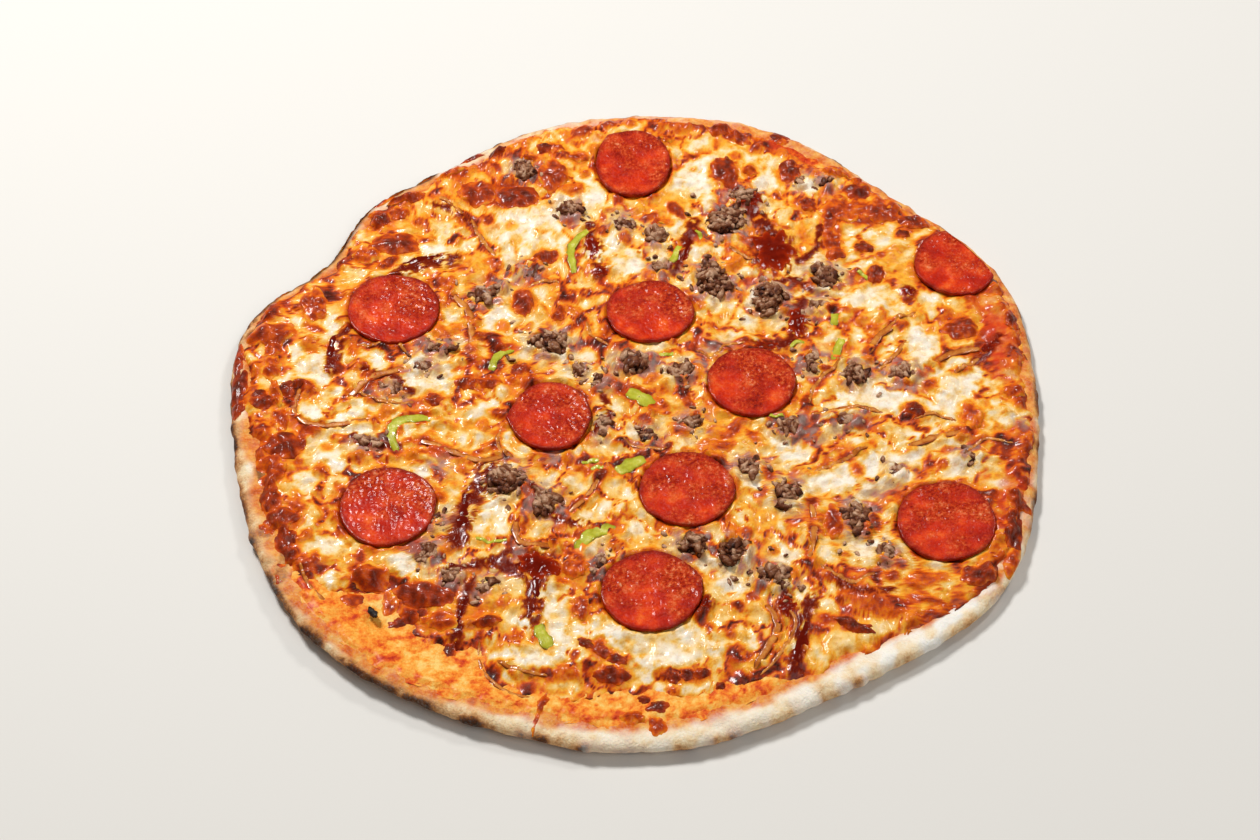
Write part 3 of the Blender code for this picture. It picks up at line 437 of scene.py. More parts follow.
# Pale, milky cheese
CREAM = table(
    Mark,
    (-20, 113, 6, 10, 0.8), (-10, 100, 10, 5, 0.4), (-45, 97, 15, 8, 0.9), (-42, 83, 12, 7, 0.8),
    (-54, 75, 5, 3, 0.7), (-6, 76, 7, 13, 0.7), (-85, 80, 6, 5, 0.7), (-103, 72, 3, 4, 0.6),
    (-48, 42, 14, 9, 0.8), (-79, 36, 4, 7, 0.7), (-132, 37, 10, 6, 1), (-133, 15, 8, 12, 0.8),
    (-108, 22, 5, 5, 0.7), (-82, 12, 10, 13, 0.6), (-75, -8, 8, 6, 0.7), (-100, -3, 10, 6, 0.6),
    (-130, -7, 7, 6, 0.8), (-112, -13, 9, 5, 0.8), (-124, -27, 9, 7, 0.8), (-130, -42, 4, 5, 0.7),
    (-120, -72, 8, 6, 0.8), (-115, -88, 8, 4, 0.7), (-86, -37, 6, 4, 0.7), (-73, -52, 4, 10, 0.7),
    (-88, -80, 4, 5, 1), (-80, -88, 6, 4, 0.9), (-54, -60, 5, 8, 1), (-56, -90, 5, 4, 0.9),
    (-46, -92, 5, 6, 0.9), (-45, -103, 5, 5, 0.7), (-27, -107, 12, 13, 1), (-40, -122, 15, 7, 0.8),
    (-10, -115, 8, 6, 0.8), (-63, -15, 12, 10, 0.7), (-10, -57, 6, 5, 0.7), (25, 118, 9, 12, 0.9),
    (40, 133, 10, 5, 0.7), (55, 128, 8, 6, 0.7), (58, 116, 8, 5, 0.8), (75, 112, 8, 5, 0.6),
    (105, 85, 6, 6, 1), (100, 53, 12, 8, 1), (90, 72, 6, 5, 0.7), (130, 52, 6, 5, 0.7),
    (123, 45, 5, 5, 0.6), (117, 27, 6, 8, 1), (130, 7, 10, 8, 1), (98, -2, 15, 6, 1), (128, -6, 9, 9, 1),
    (150, -6, 8, 8, 0.7), (112, -27, 17, 5, 1, 15), (83, -38, 13, 6, 0.8, 20), (95, -47, 8, 5, 0.6),
    (100, -57, 5, 4, 0.7), (85, -72, 8, 8, 0.7), (118, -83, 5, 3, 0.7), (60, -27, 5, 6, 1),
    (28, -82, 4, 4, 1), (40, -87, 9, 7, 0.7), (15, -116, 20, 8, 0.8), (18, -134, 16, 4, 0.6),
    (45, 70, 8, 5, 0.6), (30, 75, 8, 5, 0.6), (2, 70, 5, 6, 0.7), (75, 70, 5, 5, 0.6), (50, 50, 5, 4, 0.5),
)
# Cheese stained deep yellow by oil
OILY = table(
    Mark,
    (-68, 70, 10, 8, 1), (-105, -78, 10, 4, 0.8), (-100, -33, 8, 6, 0.6), (-25, -50, 6, 5, 0.8),
    (17, 105, 7, 8, 1), (5, 102, 6, 5, 1), (70, 103, 7, 6, 0.5), (115, 63, 6, 10, 1), (108, 75, 6, 6, 1),
    (139, -70, 3, 10, 0.5), (40, -101, 10, 6, 0.6), (50, -60, 6, 6, 1), (-93, 93, 5, 5, 0.8),
    (-10, 100, 10, 5, 0.5), (138, 55, 10, 8, 0.7),
)
# Cheese stained orange
ORANGE = table(
    Mark,
    (-52, 92, 3, 3, 1), (-50, 85, 2.5, 3, 0.9), (-122, -25, 3, 3, 1), (-66, -14, 3, 2.5, 0.9),
    (-58, -18, 3, 2, 0.8), (98, -104, 32, 18, 0.3), (-118, 52, 6, 16, 0.5), (-95, 100, 18, 8, 0.5, 45),
    (-75, 118, 18, 8, 0.5, 35), (70, 88, 14, 8, 0.6), (-8, 5, 20, 8, 0.5), (28, -10, 10, 14, 0.6),
    (-70, -100, 30, 10, 0.7, 10),
)
# Grey, milky cheese, stained by the juice of the meat
MILKY = table(
    Mark,
    (-85, 15, 9, 5, 1, 20), (-100, 0, 8, 5), (-75, -60, 7, 6), (-60, -90, 8, 5), (110, 5, 8, 4),
    (155, -12, 4, 6), (-78, -35, 8, 6, 1, 40), (95, -47, 9, 5, 1, 30), (-45, -75, 6, 5), (-30, -30, 7, 4),
    (35, 25, 9, 4, 1, 20), (70, -20, 8, 5), (-25, 95, 8, 4), (20, -70, 7, 4),
)
# Tomato showing through
TOMATO = table(
    Mark,
    (68, 138, 14, 4, 1, -35), (151, 28, 7, 20, 1), (150, -45, 6, 10, 0.8), (-12, 143, 8, 3, 0.5),
    (-103, -110, 20, 8, 0.5, -50), (146, 50, 6, 8, 0.6), (147, -60, 6, 18, 0.7),
)


@dataclass(frozen=True)
class PizzaForm:
    """The sizes and smooth surfaces that the solids were built from."""

    base_thickness: float = 4.0
    gap: float = 0.3
    cheese_gap: float = 0.4
    sauce_thickness: float = 0.8
    rim_width: float = 30.0
    rim_round: float = 5.0
    rim_drop: float = 3.1
    underside_round: float = 13.0
    underside_rise: float = 1.3
    lift_width: float = 28.0
    cheese_thickness: float = 2.5
    cheese_edge_thickness: float = 1.0
    cheese_thinning: float = 16.0
    cheese_swell: float = 0.45
    cheese_swell_length: float = 62.0
    sectors: int = 80
    reach: Round = Round((
        (0, 164.0), (22, 169.0), (46, 159.0), (68, 164.0), (90, 161.0), (108, 157.5), (122, 152.0),
        (138, 154.0), (151, 149.0), (166, 165.0), (191, 161.0), (225, 165.5), (250, 160.0), (270, 161.0),
        (302, 156.5), (328, 168.5), (345, 165.0),
    ))
    rise: Round = Round((
        (0, 2.4), (45, 2.0), (90, 2.1), (125, 1.7), (150, 1.6), (180, 2.7), (215, 2.4), (245, 2.6),
        (270, 3.3), (300, 3.8), (325, 3.2), (345, 2.5),
    ))
    lift: Round = Round((
        (0, 0.0), (60, 0.0), (120, 0.6), (170, 0.5), (205, 1.2), (230, 3.0), (250, 1.6), (275, 0.3),
        (310, 0.0),
    ))
    sauce_edge: Round = Round((
        (0, 4.5), (27, 3.2), (60, 5.0), (120, 5.0), (165, 6.5), (186, 9.0), (202, 8.5), (216, 5.5),
        (235, 5.0), (248, 6.0), (258, 8.5), (272, 9.5), (290, 10.5), (304, 12.5), (318, 12.5), (328, 7.0),
        (345, 4.5),
    ))
    cheese_edge: Round = Round((
        (0, 9.0), (10, 15.0), (18, 12.0), (27, 4.6), (40, 8.0), (53, 9.0), (60, 19.0), (68, 13.0),
        (80, 9.0), (100, 7.0), (125, 8.0), (150, 7.0), (168, 8.0), (186, 11.0), (205, 11.0), (214, 11.0),
        (219, 17.0), (223, 28.0), (229, 29.0), (236, 23.0), (243, 27.0), (250, 15.0), (259, 18.0),
        (269, 23.0), (281, 18.5), (290, 17.0), (295, 12.0), (303, 14.0), (316, 15.0), (328, 10.0),
        (345, 7.5),
    ))

    @cached_property
    def middle(self) -> tuple[float, float]:
        """The middle of the outline's box, which is the origin."""
        angle = round_angles(self.sectors)
        reach = self.reach.at(angle)
        places = (np.cos(np.radians(angle)) * reach, np.sin(np.radians(angle)) * reach)
        return tuple(float(place.max() + place.min()) / 2.0 for place in places)

    def spot(self, angle: Array, inset: Array) -> tuple[Array, Array]:
        """The places at angles and insets."""
        out = self.reach.at(angle) - inset
        turn = np.radians(angle)
        return np.cos(turn) * out - self.middle[0], np.sin(turn) * out - self.middle[1]

    def polar(self, x: Array, y: Array) -> tuple[Array, Array]:
        """The angles and insets of places."""
        from_x, from_y = x + self.middle[0], y + self.middle[1]
        angle = np.degrees(np.arctan2(from_y, from_x)) % 360.0
        return angle, self.reach.at(angle) - np.hypot(from_x, from_y)

    def rounding(self, inset: Array) -> Array:
        """How far the rim's rounded edge has dropped, from 1 at the edge to 0 past the round."""
        across = np.clip(1.0 - inset / self.rim_round, 0.0, 1.0)
        return 1.0 - np.sqrt(1.0 - across * across)

    def edge_lift(self, angle: Array, inset: Array) -> Array:
        """How far the edge has curled up."""
        return self.lift.at(angle) * ease(1.0 - inset / self.lift_width)

    def dough_top(self, angle: Array, inset: Array) -> Array:
        """The height of the dough's top face."""
        swell = self.rise.at(angle) * ease(1.0 - inset / self.rim_width)
        height = self.base_thickness + swell + self.edge_lift(angle, inset)
        return height - self.rim_drop * self.rounding(inset)

    def dough_underside(self, angle: Array, inset: Array) -> Array:
        """The height of the dough's underside."""
        nose = np.zeros_like(inset)
        edge_height = self.dough_top(angle, nose) - self.underside_rise - self.edge_lift(angle, nose)
        curl = self.underside_rise * ease(1.0 - inset / self.underside_round)
        return curl + self.edge_lift(angle, inset) + edge_height * self.rounding(inset)

    def cheese_inset(self, angle: Array) -> Array:
        """The inset of the cheese's edge, with its short wavers."""
        waver = np.sin(np.radians(23 * angle)) + np.sin(np.radians(37 * angle + 50))
        return self.cheese_edge.at(angle) + 0.6 * waver

    def cheese_underside(self, angle: Array, inset: Array) -> Array:
        """The height of the cheese's underside."""
        return self.dough_top(angle, inset) + self.gap + self.sauce_thickness + self.cheese_gap

    def cheese_top(self, x: Array, y: Array) -> Array:
        """The height of the cheese's smooth top, which the toppings rest on."""
        angle, inset = self.polar(x, y)
        depth = ease((inset - self.cheese_inset(angle)) / self.cheese_thinning)
        thickness = self.cheese_edge_thickness + (self.cheese_thickness - self.cheese_edge_thickness) * depth
        length = self.cheese_swell_length
        swell = [noise.noise(Vector((a / length, b / length, 0.0))) for a, b in zip(np.ravel(x), np.ravel(y))]
        swell = self.cheese_swell * np.reshape(swell, np.shape(x))
        return self.cheese_underside(angle, inset) + thickness + swell * depth


FORM = PizzaForm()


@dataclass
class Shell:
    """A closed mesh in millimetres, with values at its points for the finish to read."""

    points: Array
    quads: Array
    triangles: Array
    marks: dict[str, Array] = field(default_factory=dict)
    charts: Array | None = None
    chart: Array | None = None

    def outwards(self) -> "Shell":
        """The same mesh with its faces turned outwards."""
        corners = self.points - self.points.mean(axis=0)
        fans = np.concatenate([self.quads[:, [0, 1, 2]], self.quads[:, [0, 2, 3]], self.triangles])
        a, b, c = (corners[fans[:, index]] for index in range(3))
        if np.einsum("ij,ij->i", a, np.cross(b, c)).sum() < 0.0:
            self.quads = self.quads[:, ::-1]
            self.triangles = self.triangles[:, ::-1]
        return self

    def piece(self, name: str, material: bpy.types.Material, slot: Slot, nodes: Sequence[str]) -> None:
        """Makes the object, which rides on the pizza's one body.

        Args:
            name: The piece's name.
            material: Its finish.
            slot: A material slot for it; not used.
            nodes: The solids that it stands for.
        """
        self.outwards()
        mesh = bpy.data.meshes.new(name)
        mesh.vertices.add(len(self.points))
        mesh.vertices.foreach_set("co", (self.points * METRES_PER_MM).astype(np.float32).ravel())
        corners = np.concatenate([self.quads.ravel(), self.triangles.ravel()]).astype(np.int32)
        mesh.loops.add(len(corners))
        mesh.loops.foreach_set("vertex_index", corners)
        sizes = np.concatenate([np.full(len(self.quads), 4), np.full(len(self.triangles), 3)])
        mesh.polygons.add(len(sizes))
        mesh.polygons.foreach_set("loop_start", (np.cumsum(sizes) - sizes).astype(np.int32))
        mesh.update(calc_edges=True)
        for mark, values in self.marks.items():
            layer = mesh.attributes.new(mark, "FLOAT", "POINT")
            layer.data.foreach_set("value", values.astype(np.float32))
        if self.charts is not None:
            layer = mesh.uv_layers.new(name="OFBake")
            chosen = np.concatenate([
                np.repeat(self.chart[self.quads].max(axis=1), 4),
                np.repeat(self.chart[self.triangles].max(axis=1), 3),
            ])
            layer.data.foreach_set("uv", self.charts[chosen, corners].astype(np.float32).ravel())
        mesh.shade_smooth()
        mesh.materials.append(material)
        made = bpy.data.objects.new(name, mesh)
        bpy.context.scene.collection.objects.link(made)
        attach(made, BODY)
        if nodes:
            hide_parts(*nodes)
        LOG.info("%s: %d triangles", name, 2 * len(self.quads) + len(self.triangles))


def lofted(rings: Sequence[Array], first: Array, last: Array) -> Shell:
    """A closed skin over rings of points, with a fan at each end.

    Args:
        rings: Arrays of the same number of points each.
        first: The point that closes the first ring.
        last: The point that closes the last ring.

    Returns:
        The mesh. Its points are the first point, the rings in order and the last point.
    """
    count, around = len(rings), len(rings[0])
    points = np.concatenate([first[None], *rings, last[None]])
    here = 1 + np.arange(count - 1)[:, None] * around + np.arange(around)[None]
    turned = 1 + np.arange(count - 1)[:, None] * around + (np.arange(around)[None] + 1) % around
    quads = np.stack([here, turned, turned + around, here + around], axis=-1).reshape(-1, 4)
    step = np.arange(around)
    onwards = (step + 1) % around
    last_ring = 1 + (count - 1) * around
    opening = np.stack([np.zeros(around, int), onwards + 1, step + 1], axis=-1)
    closing = np.stack([np.full(around, len(points) - 1), last_ring + step, last_ring + onwards], axis=-1)
    return Shell(points, quads, np.concatenate([opening, closing]))


def joined(shells: Sequence[Shell]) -> Shell:
    """Several meshes as one."""
    starts = np.cumsum([0, *(len(shell.points) for shell in shells)])
    turned = [shell.outwards() for shell in shells]
    marks = {name: np.concatenate([shell.marks[name] for shell in turned]) for name in turned[0].marks}
    return Shell(
        np.concatenate([shell.points for shell in turned]),
        np.concatenate([shell.quads + start for shell, start in zip(turned, starts)]),
        np.concatenate([shell.triangles + start for shell, start in zip(turned, starts)]),
        marks,
    )


def curve_through(route: Route, spacing: float) -> Array:
    """Even places on a smooth curve through a route.

    Args:
        route: The places that the curve passes through.
        spacing: The distance between the returned places.

    Returns:
        The places, one row each.
    """
    stops = np.array(route, float)
    stops = np.concatenate([2.0 * stops[:1] - stops[1:2], stops, 2.0 * stops[-1:] - stops[-2:-1]])
    fine = []
    for before, start, end, after in zip(stops, stops[1:], stops[2:], stops[3:]):
        part = np.linspace(0.0, 1.0, 40, endpoint=False)[:, None]
        bend = 2.0 * before - 5.0 * start + 4.0 * end - after
        twist = 3.0 * start - before - 3.0 * end + after
        fine.append(start + 0.5 * part * ((end - before) + part * (bend + part * twist)))
    fine = np.concatenate([*fine, stops[-2:-1]])
    along = np.concatenate([[0.0], np.cumsum(np.linalg.norm(np.diff(fine, axis=0), axis=1))])
    wanted = np.linspace(0.0, along[-1], max(6, int(along[-1] / spacing)))
    return np.stack([np.interp(wanted, along, fine[:, axis]) for axis in (0, 1)], axis=-1)


def flat_charts(x: Array, y: Array) -> Array:
    """Three level maps of a wide piece: its seen top, its underside, and hidden faces in a corner."""
    seen = np.stack([x, y], axis=-1) * MAP_PER_MM + 0.5
    return np.stack([seen, (seen - 0.5) * 0.66 + 0.5, (seen - 0.5) * 0.12 + 0.06])


def stroke(strands: Sequence[Strand], widen: float, strength: float) -> list[Mark]:
    """Round patches along strands.

    Args:
        strands: The strands.
        widen: The patches' width as a share of each strand's.
        strength: The patches' strength.

    Returns:
        The patches.
    """
    made = []
    for strand in strands:
        half = 0.5 * widen * strand.width
        made += [Mark(x, y, half, half, strength) for x, y in curve_through(strand.route, 0.8)]
    return made


def swollen(lumps: Sequence[Mark | Lump], extra: float, strength: float) -> list[Mark]:
    """Patches that reach a little way past lumps or other patches, or stay a little inside them."""
    return [
        Mark(m.x, m.y, max(0.3, m.half_length + extra), max(0.3, m.half_width + extra), strength, m.turn)
        for m in lumps
    ]


class Wiring:
    """The node tree of one finish, with short ways to add what it needs."""

    def __init__(self, skin: "Skin") -> None:
        """Makes the material, with the finish's uniform values set on the surface shader.

        Args:
            skin: The finish.
        """
        self.material = bpy.data.materials.new(skin.name)
        self.material.use_nodes = True
        self.tree = self.material.node_tree
        self.shader = self.tree.nodes["Principled BSDF"]
        for name, value in (
            ("IOR", skin.ior),
            ("Roughness", skin.roughness),
            ("Specular IOR Level", skin.specular),
            ("Coat Weight", skin.coat),
            ("Coat Roughness", skin.coat_roughness),
            ("Subsurface Weight", skin.flesh),
            ("Subsurface Radius", skin.flesh_spread),
            ("Subsurface Scale", skin.flesh_depth * METRES_PER_MM),
        ):
            self.shader.inputs[name].default_value = value

    def add(
        self, kind: str, inputs: dict[str | int, object] | None = None, stops: Stops = (), **settings: object
    ) -> bpy.types.Node:
        """Adds one node with its settings, values and links.

        Args:
            kind: The node's type.
            inputs: A value or another node's output for each input, by its name or number.
            stops: A colour ramp's places and sRGB hex colours.
            **settings: The node's own properties.

        Returns:
            The node.
        """
        made = self.tree.nodes.new(kind)
        for name, value in settings.items():
            setattr(made, name, value)
        for name, value in (inputs or {}).items():
            if isinstance(value, Socket):
                self.tree.links.new(value, made.inputs[name])
            else:
                made.inputs[name].default_value = value
        if stops:
            ramp = made.color_ramp
            while len(ramp.elements) < len(stops):
                ramp.elements.new(0.5)
            for element, (place, colour) in zip(ramp.elements, stops):
                element.position = place
                element.color = linear(colour)
        return made

    def speckle(self, size: float, detail: float = 3.0) -> Socket:
        """Noise from 0 to 1 over the surface, by its largest spots' size and how many finer layers it has."""
        place = self.add("ShaderNodeTexCoord").outputs["Object"]
        inputs = {"Vector": place, "Scale": 1.0 / (size * METRES_PER_MM), "Detail": detail, "Roughness": 0.6}
        return self.add("ShaderNodeTexNoise", inputs).outputs["Fac"]

    def mark(self, name: str) -> Socket:
        """A value stored at the mesh's points."""
        return self.add("ShaderNodeAttribute", attribute_name=name).outputs["Fac"]

    def mottled(self, value: Socket, speckle: Socket, amount: float) -> Socket:
        """A value with noise added about its middle."""
        inputs = {0: speckle, 1: amount, 2: -0.5 * amount}
        centred = self.add("ShaderNodeMath", inputs, operation="MULTIPLY_ADD")
        inputs = {0: value, 1: centred.outputs[0]}
        return self.add("ShaderNodeMath", inputs, operation="ADD", use_clamp=True).outputs[0]

    def ramp(self, value: Socket, stops: Stops) -> Socket:
        """The colours that stand for a value."""
        return self.add("ShaderNodeValToRGB", {"Fac": value}, stops).outputs["Color"]

    def blended(self, factor: Socket, under: Socket, over: Socket | tuple[float, ...]) -> Socket:
        """One colour laid over another by a factor."""
        return self.add("ShaderNodeMix", {0: factor, 6: under, 7: over}, data_type="RGBA").outputs[2]

    def finished(self, colour: Socket, *relief: tuple[Socket, float]) -> bpy.types.Material:
        """Links the colour and the fine relief to the shader.

        Args:
            colour: The surface's colour.
            *relief: Each height from 0 to 1, and how many millimetres 1 stands for.

        Returns:
            The material.
        """
        self.tree.links.new(colour, self.shader.inputs["Base Color"])
        normal = {}
        for height, depth in relief:
            inputs = {"Strength": 1.0, "Distance": depth * METRES_PER_MM, "Height": height, **normal}
            normal = {"Normal": self.add("ShaderNodeBump", inputs).outputs["Normal"]}
        self.tree.links.new(normal["Normal"], self.shader.inputs["Normal"])
        return self.material


@dataclass(frozen=True)
class Skin:
    """What each finish sets on its surface shader. Lengths are in real millimetres."""

    name: str
    roughness: float = 0.5
    ior: float = 1.45
    specular: float = 0.2
    coat: float = 0.0
    coat_roughness: float = 0.1
    flesh: float = 0.0
    flesh_depth: float = 1.5
    flesh_spread: tuple[float, float, float] = (1.0, 0.55, 0.3)


@dataclass(frozen=True)
class BakedDough(Skin):
    """Wheat dough, baked on hot stone: matt, pale and floury, toasted and scorched where it stood up."""

    name: str = "stone_baked_wheat_dough"
    roughness: float = 0.78
    flesh: float = 0.08
    # The crumb's open pores are about 0.5 mm across, and the toasted spots are larger
    pore: float = 0.9
    spot: float = 2.4
    oil: float = 4.5
    patch: float = 7.0
    toast_stops: Stops = (
        (0.0, "#FFF2DA"), (0.3, "#F6DAAC"), (0.5, "#DFAE78"), (0.68, "#B0733F"), (0.82, "#6E4022"),
        (1.0, "#2A1A14"),
    )
    flour: str = "#FFFAF0"
    stain_stops: Stops = ((0.2, "#F8CE7C"), (0.42, "#F0A248"), (0.6, "#DC6A24"), (0.8, "#9E3A12"))

    def material(self) -> bpy.types.Material:
        """Makes the material."""
        wiring = Wiring(self)
        patches = wiring.speckle(self.patch, 5.0)
        pores = wiring.speckle(self.pore, 4.0)
        toast = wiring.mottled(wiring.mark("toast"), patches, 0.45)
        toast = wiring.mottled(toast, pores, 0.55)
        toast = wiring.mottled(toast, wiring.speckle(self.spot), 0.45)
        colour = wiring.ramp(toast, self.toast_stops)
        stain = wiring.mottled(wiring.mark("stain"), patches, 0.5)
        colour = wiring.blended(stain, colour, wiring.ramp(wiring.speckle(self.oil, 5.0), self.stain_stops))
        dusting = wiring.mottled(wiring.mark("flour"), pores, 0.5)
        colour = wiring.blended(dusting, colour, linear(self.flour))
        return wiring.finished(colour, (pores, 0.5), (patches, 0.8))


@dataclass(frozen=True)
class CrushedTomato(Skin):
    """Crushed tomato spread thin and baked: wet pulp with orange oil, and red where it is thickest."""

    name: str = "baked_crushed_tomato"
    roughness: float = 0.5
    coat: float = 0.1
    coat_roughness: float = 0.25
    flesh: float = 0.1
    # Tomato pulp has grains of about 0.8 mm
    pulp: float = 1.1
    patch: float = 6.0
    stops: Stops = (
        (0.0, "#FFD276"), (0.25, "#FFB144"), (0.43, "#FA8C22"), (0.6, "#E85C10"), (0.8, "#C42C06"),
        (1.0, "#7E1604"),
    )
    browned_stops: Stops = ((0.0, "#B4481A"), (0.5, "#6E2412"), (1.0, "#34110C"))

    def material(self) -> bpy.types.Material:
        """Makes the material."""
        wiring = Wiring(self)
        patches = wiring.speckle(self.patch, 4.0)
        pulp = wiring.speckle(self.pulp)
        red = wiring.mottled(wiring.mottled(wiring.mark("red"), patches, 0.9), pulp, 0.6)
        browned = wiring.mottled(wiring.mark("browned"), pulp, 0.3)
        scorched = wiring.ramp(browned, self.browned_stops)
        colour = wiring.blended(browned, wiring.ramp(red, self.stops), scorched)
        return wiring.finished(colour, (pulp, 0.5), (patches, 0.6))


@dataclass(frozen=True)
class MeltedCheese(Skin):
    """Grated mozzarella, melted and grilled: milky and glossy, yellow with oil, browned to a dark skin."""

    name: str = "grilled_mozzarella"
    roughness: float = 0.34
    specular: float = 0.13
    coat: float = 0.27
    coat_roughness: float = 0.12
    flesh: float = 0.08
    # Freckles of browning are 1 to 3 mm across, and the skin's wrinkles are finer
    freckle: float = 2.4
    wrinkle: float = 0.8
    stops: Stops = (
        (0.0, "#FFF4E0"), (0.13, "#FEE6BE"), (0.24, "#FCD07A"), (0.34, "#F9B030"), (0.44, "#F08612"),
        (0.54, "#DC5A02"), (0.65, "#AC3602"), (0.79, "#742002"), (1.0, "#340C02"),
    )
    tomato: str = "#D8401A"
    glaze: str = "#6C1402"
    juice: str = "#AA9288"
    wet_roughness: float = 0.12

    def material(self) -> bpy.types.Material:
        """Makes the material."""
        wiring = Wiring(self)
        freckles = wiring.speckle(self.freckle, 4.0)
        wrinkles = wiring.speckle(self.wrinkle)
        tone = wiring.mottled(wiring.mottled(wiring.mark("tone"), freckles, 0.2), wrinkles, 0.1)
        juice = wiring.mottled(wiring.mark("juice"), wrinkles, 0.5)
        colour = wiring.blended(juice, wiring.ramp(tone, self.stops), linear(self.juice))
        red = wiring.mottled(wiring.mark("red"), freckles, 0.5)
        colour = wiring.blended(red, colour, linear(self.tomato))
        glaze = wiring.mottled(wiring.mark("glaze"), freckles, 0.8)
        colour = wiring.blended(glaze, colour, linear(self.glaze))
        inputs = {0: glaze, 3: self.wet_roughness, 2: self.roughness}
        wetness = wiring.add("ShaderNodeMix", inputs, data_type="FLOAT").outputs[0]
        wiring.tree.links.new(wetness, wiring.shader.inputs["Roughness"])
        return wiring.finished(colour, (freckles, 0.24), (wrinkles, 0.2))


@dataclass(frozen=True)
class CuredSausage(Skin):
    """Sliced pepperoni, baked: oily red meat, smooth or crackled with paler fat, and a darker cut edge. The
    crackled part's pale pink is a painted highlight, laid on each slice's lit upper right.
    """

    name: str = "baked_pepperoni"
    roughness: float = 0.34
    specular: float = 0.15
    coat: float = 0.17
    coat_roughness: float = 0.14
    flesh: float = 0.04
    # Fat grains are 0.6 to 1.5 mm across
    fat: float = 1.3
    grain: float = 0.8
    cloud: float = 9.0
    # The crackled colours climb to pale pink: paler fat, with a painted highlight in the palest of them
    stops: Stops = (
        (0.25, "#860C00"), (0.41, "#B62200"), (0.55, "#D6440E"), (0.68, "#F27E4A"), (0.84, "#FFC8A4"),
    )
    smooth_stops: Stops = ((0.25, "#A01000"), (0.45, "#C62200"), (0.6, "#E23C04"), (0.8, "#FF7424"))
    edge: str = "#861404"

    def material(self) -> bpy.types.Material:
        """Makes the material."""
        wiring = Wiring(self)
        fat = wiring.speckle(self.fat)
        grain = wiring.speckle(self.grain, 2.0)
        cloud = wiring.speckle(self.cloud, 2.0)
        # Crackled colours: paler fat, partly a painted highlight
        crackled = wiring.ramp(wiring.mottled(fat, cloud, 0.5), self.stops)
        smooth = wiring.ramp(wiring.mottled(cloud, grain, 0.3), self.smooth_stops)
        crackle_and_painted_highlight = wiring.mottled(wiring.mark("crackle_and_painted_highlight"), grain, 0.6)
        colour = wiring.blended(crackle_and_painted_highlight, smooth, crackled)
        colour = wiring.blended(wiring.mark("edge"), colour, linear(self.edge))
        rough = wiring.add("ShaderNodeMath", {0: grain, 1: crackle_and_painted_highlight}, operation="MULTIPLY").outputs[0]
        return wiring.finished(colour, (rough, 0.9), (fat, 0.3))


@dataclass(frozen=True)
class Mottled(Skin):
    """A surface of one kind, whose tone wanders with a soft cloud and a fine grain."""

    cloud: float = 3.0
    cloud_detail: float = 3.0
    cloud_amount: float = 0.4
    grain: float = 1.2
    grain_detail: float = 2.0
    grain_amount: float = 0.0
    depth: float = 0.12
    stops: Stops = ()

    def material(self) -> bpy.types.Material:
        """Makes the material."""
        wiring = Wiring(self)
        grain = wiring.speckle(self.grain, self.grain_detail)
        cloud = wiring.speckle(self.cloud, self.cloud_detail)
        tone = wiring.mottled(wiring.mark("tone"), cloud, self.cloud_amount)
        if self.grain_amount:
            tone = wiring.mottled(tone, grain, self.grain_amount)
        return wiring.finished(wiring.ramp(tone, self.stops), (grain, self.depth))


@dataclass(frozen=True)
class CrumbledBeef(Mottled):
    """Minced beef, crumbled raw and baked: brown granules with painted shade, darker underneath and in their
    dents and lighter on their tops.
    """

    name: str = "crumbled_minced_beef"
    roughness: float = 0.45
    coat: float = 0.16
    coat_roughness: float = 0.2
    flesh: float = 0.06
    cloud: float = 5.0
    cloud_detail: float = 2.0
    cloud_amount: float = 0.7
    # The fibres of mince are about 1 mm thick
    grain: float = 1.0
    grain_detail: float = 3.0
    grain_amount: float = 0.6
    depth: float = 0.65
    stops: Stops = (
        (0.0, "#1C0802"), (0.22, "#40180A"), (0.46, "#693216"), (0.72, "#946040"), (1.0, "#D0A482"),
    )


@dataclass(frozen=True)
class CookedVegetable(Mottled):
    """A cooked strip of vegetable: wet and glossy, its flesh letting light in, darker along its edges, and
    painted lighter on top and darker underneath.
    """

    name: str = "roasted_vegetable"
    roughness: float = 0.28
    coat: float = 0.4
    coat_roughness: float = 0.12
    flesh: float = 0.2
    cloud: float = 3.5
    cloud_amount: float = 1.0
    grain: float = 0.8
    stops: Stops = ((0.0, "#6A4208"), (0.3, "#8E7A12"), (0.6, "#ACA81E"), (0.85, "#C6C440"), (1.0, "#ECE490"))


@dataclass(frozen=True)
class BarbecueGlaze(Mottled):
    """Barbecue sauce, drizzled and baked on: dark red-brown and mirror glossy, redder where it is thin."""

    name: str = "baked_barbecue_sauce"
    roughness: float = 0.14
    specular: float = 0.12
    coat: float = 0.17
    coat_roughness: float = 0.06
    flesh: float = 0.05
    stops: Stops = ((0.0, "#C24204"), (0.3, "#9A2200"), (0.65, "#701000"), (1.0, "#440600"))


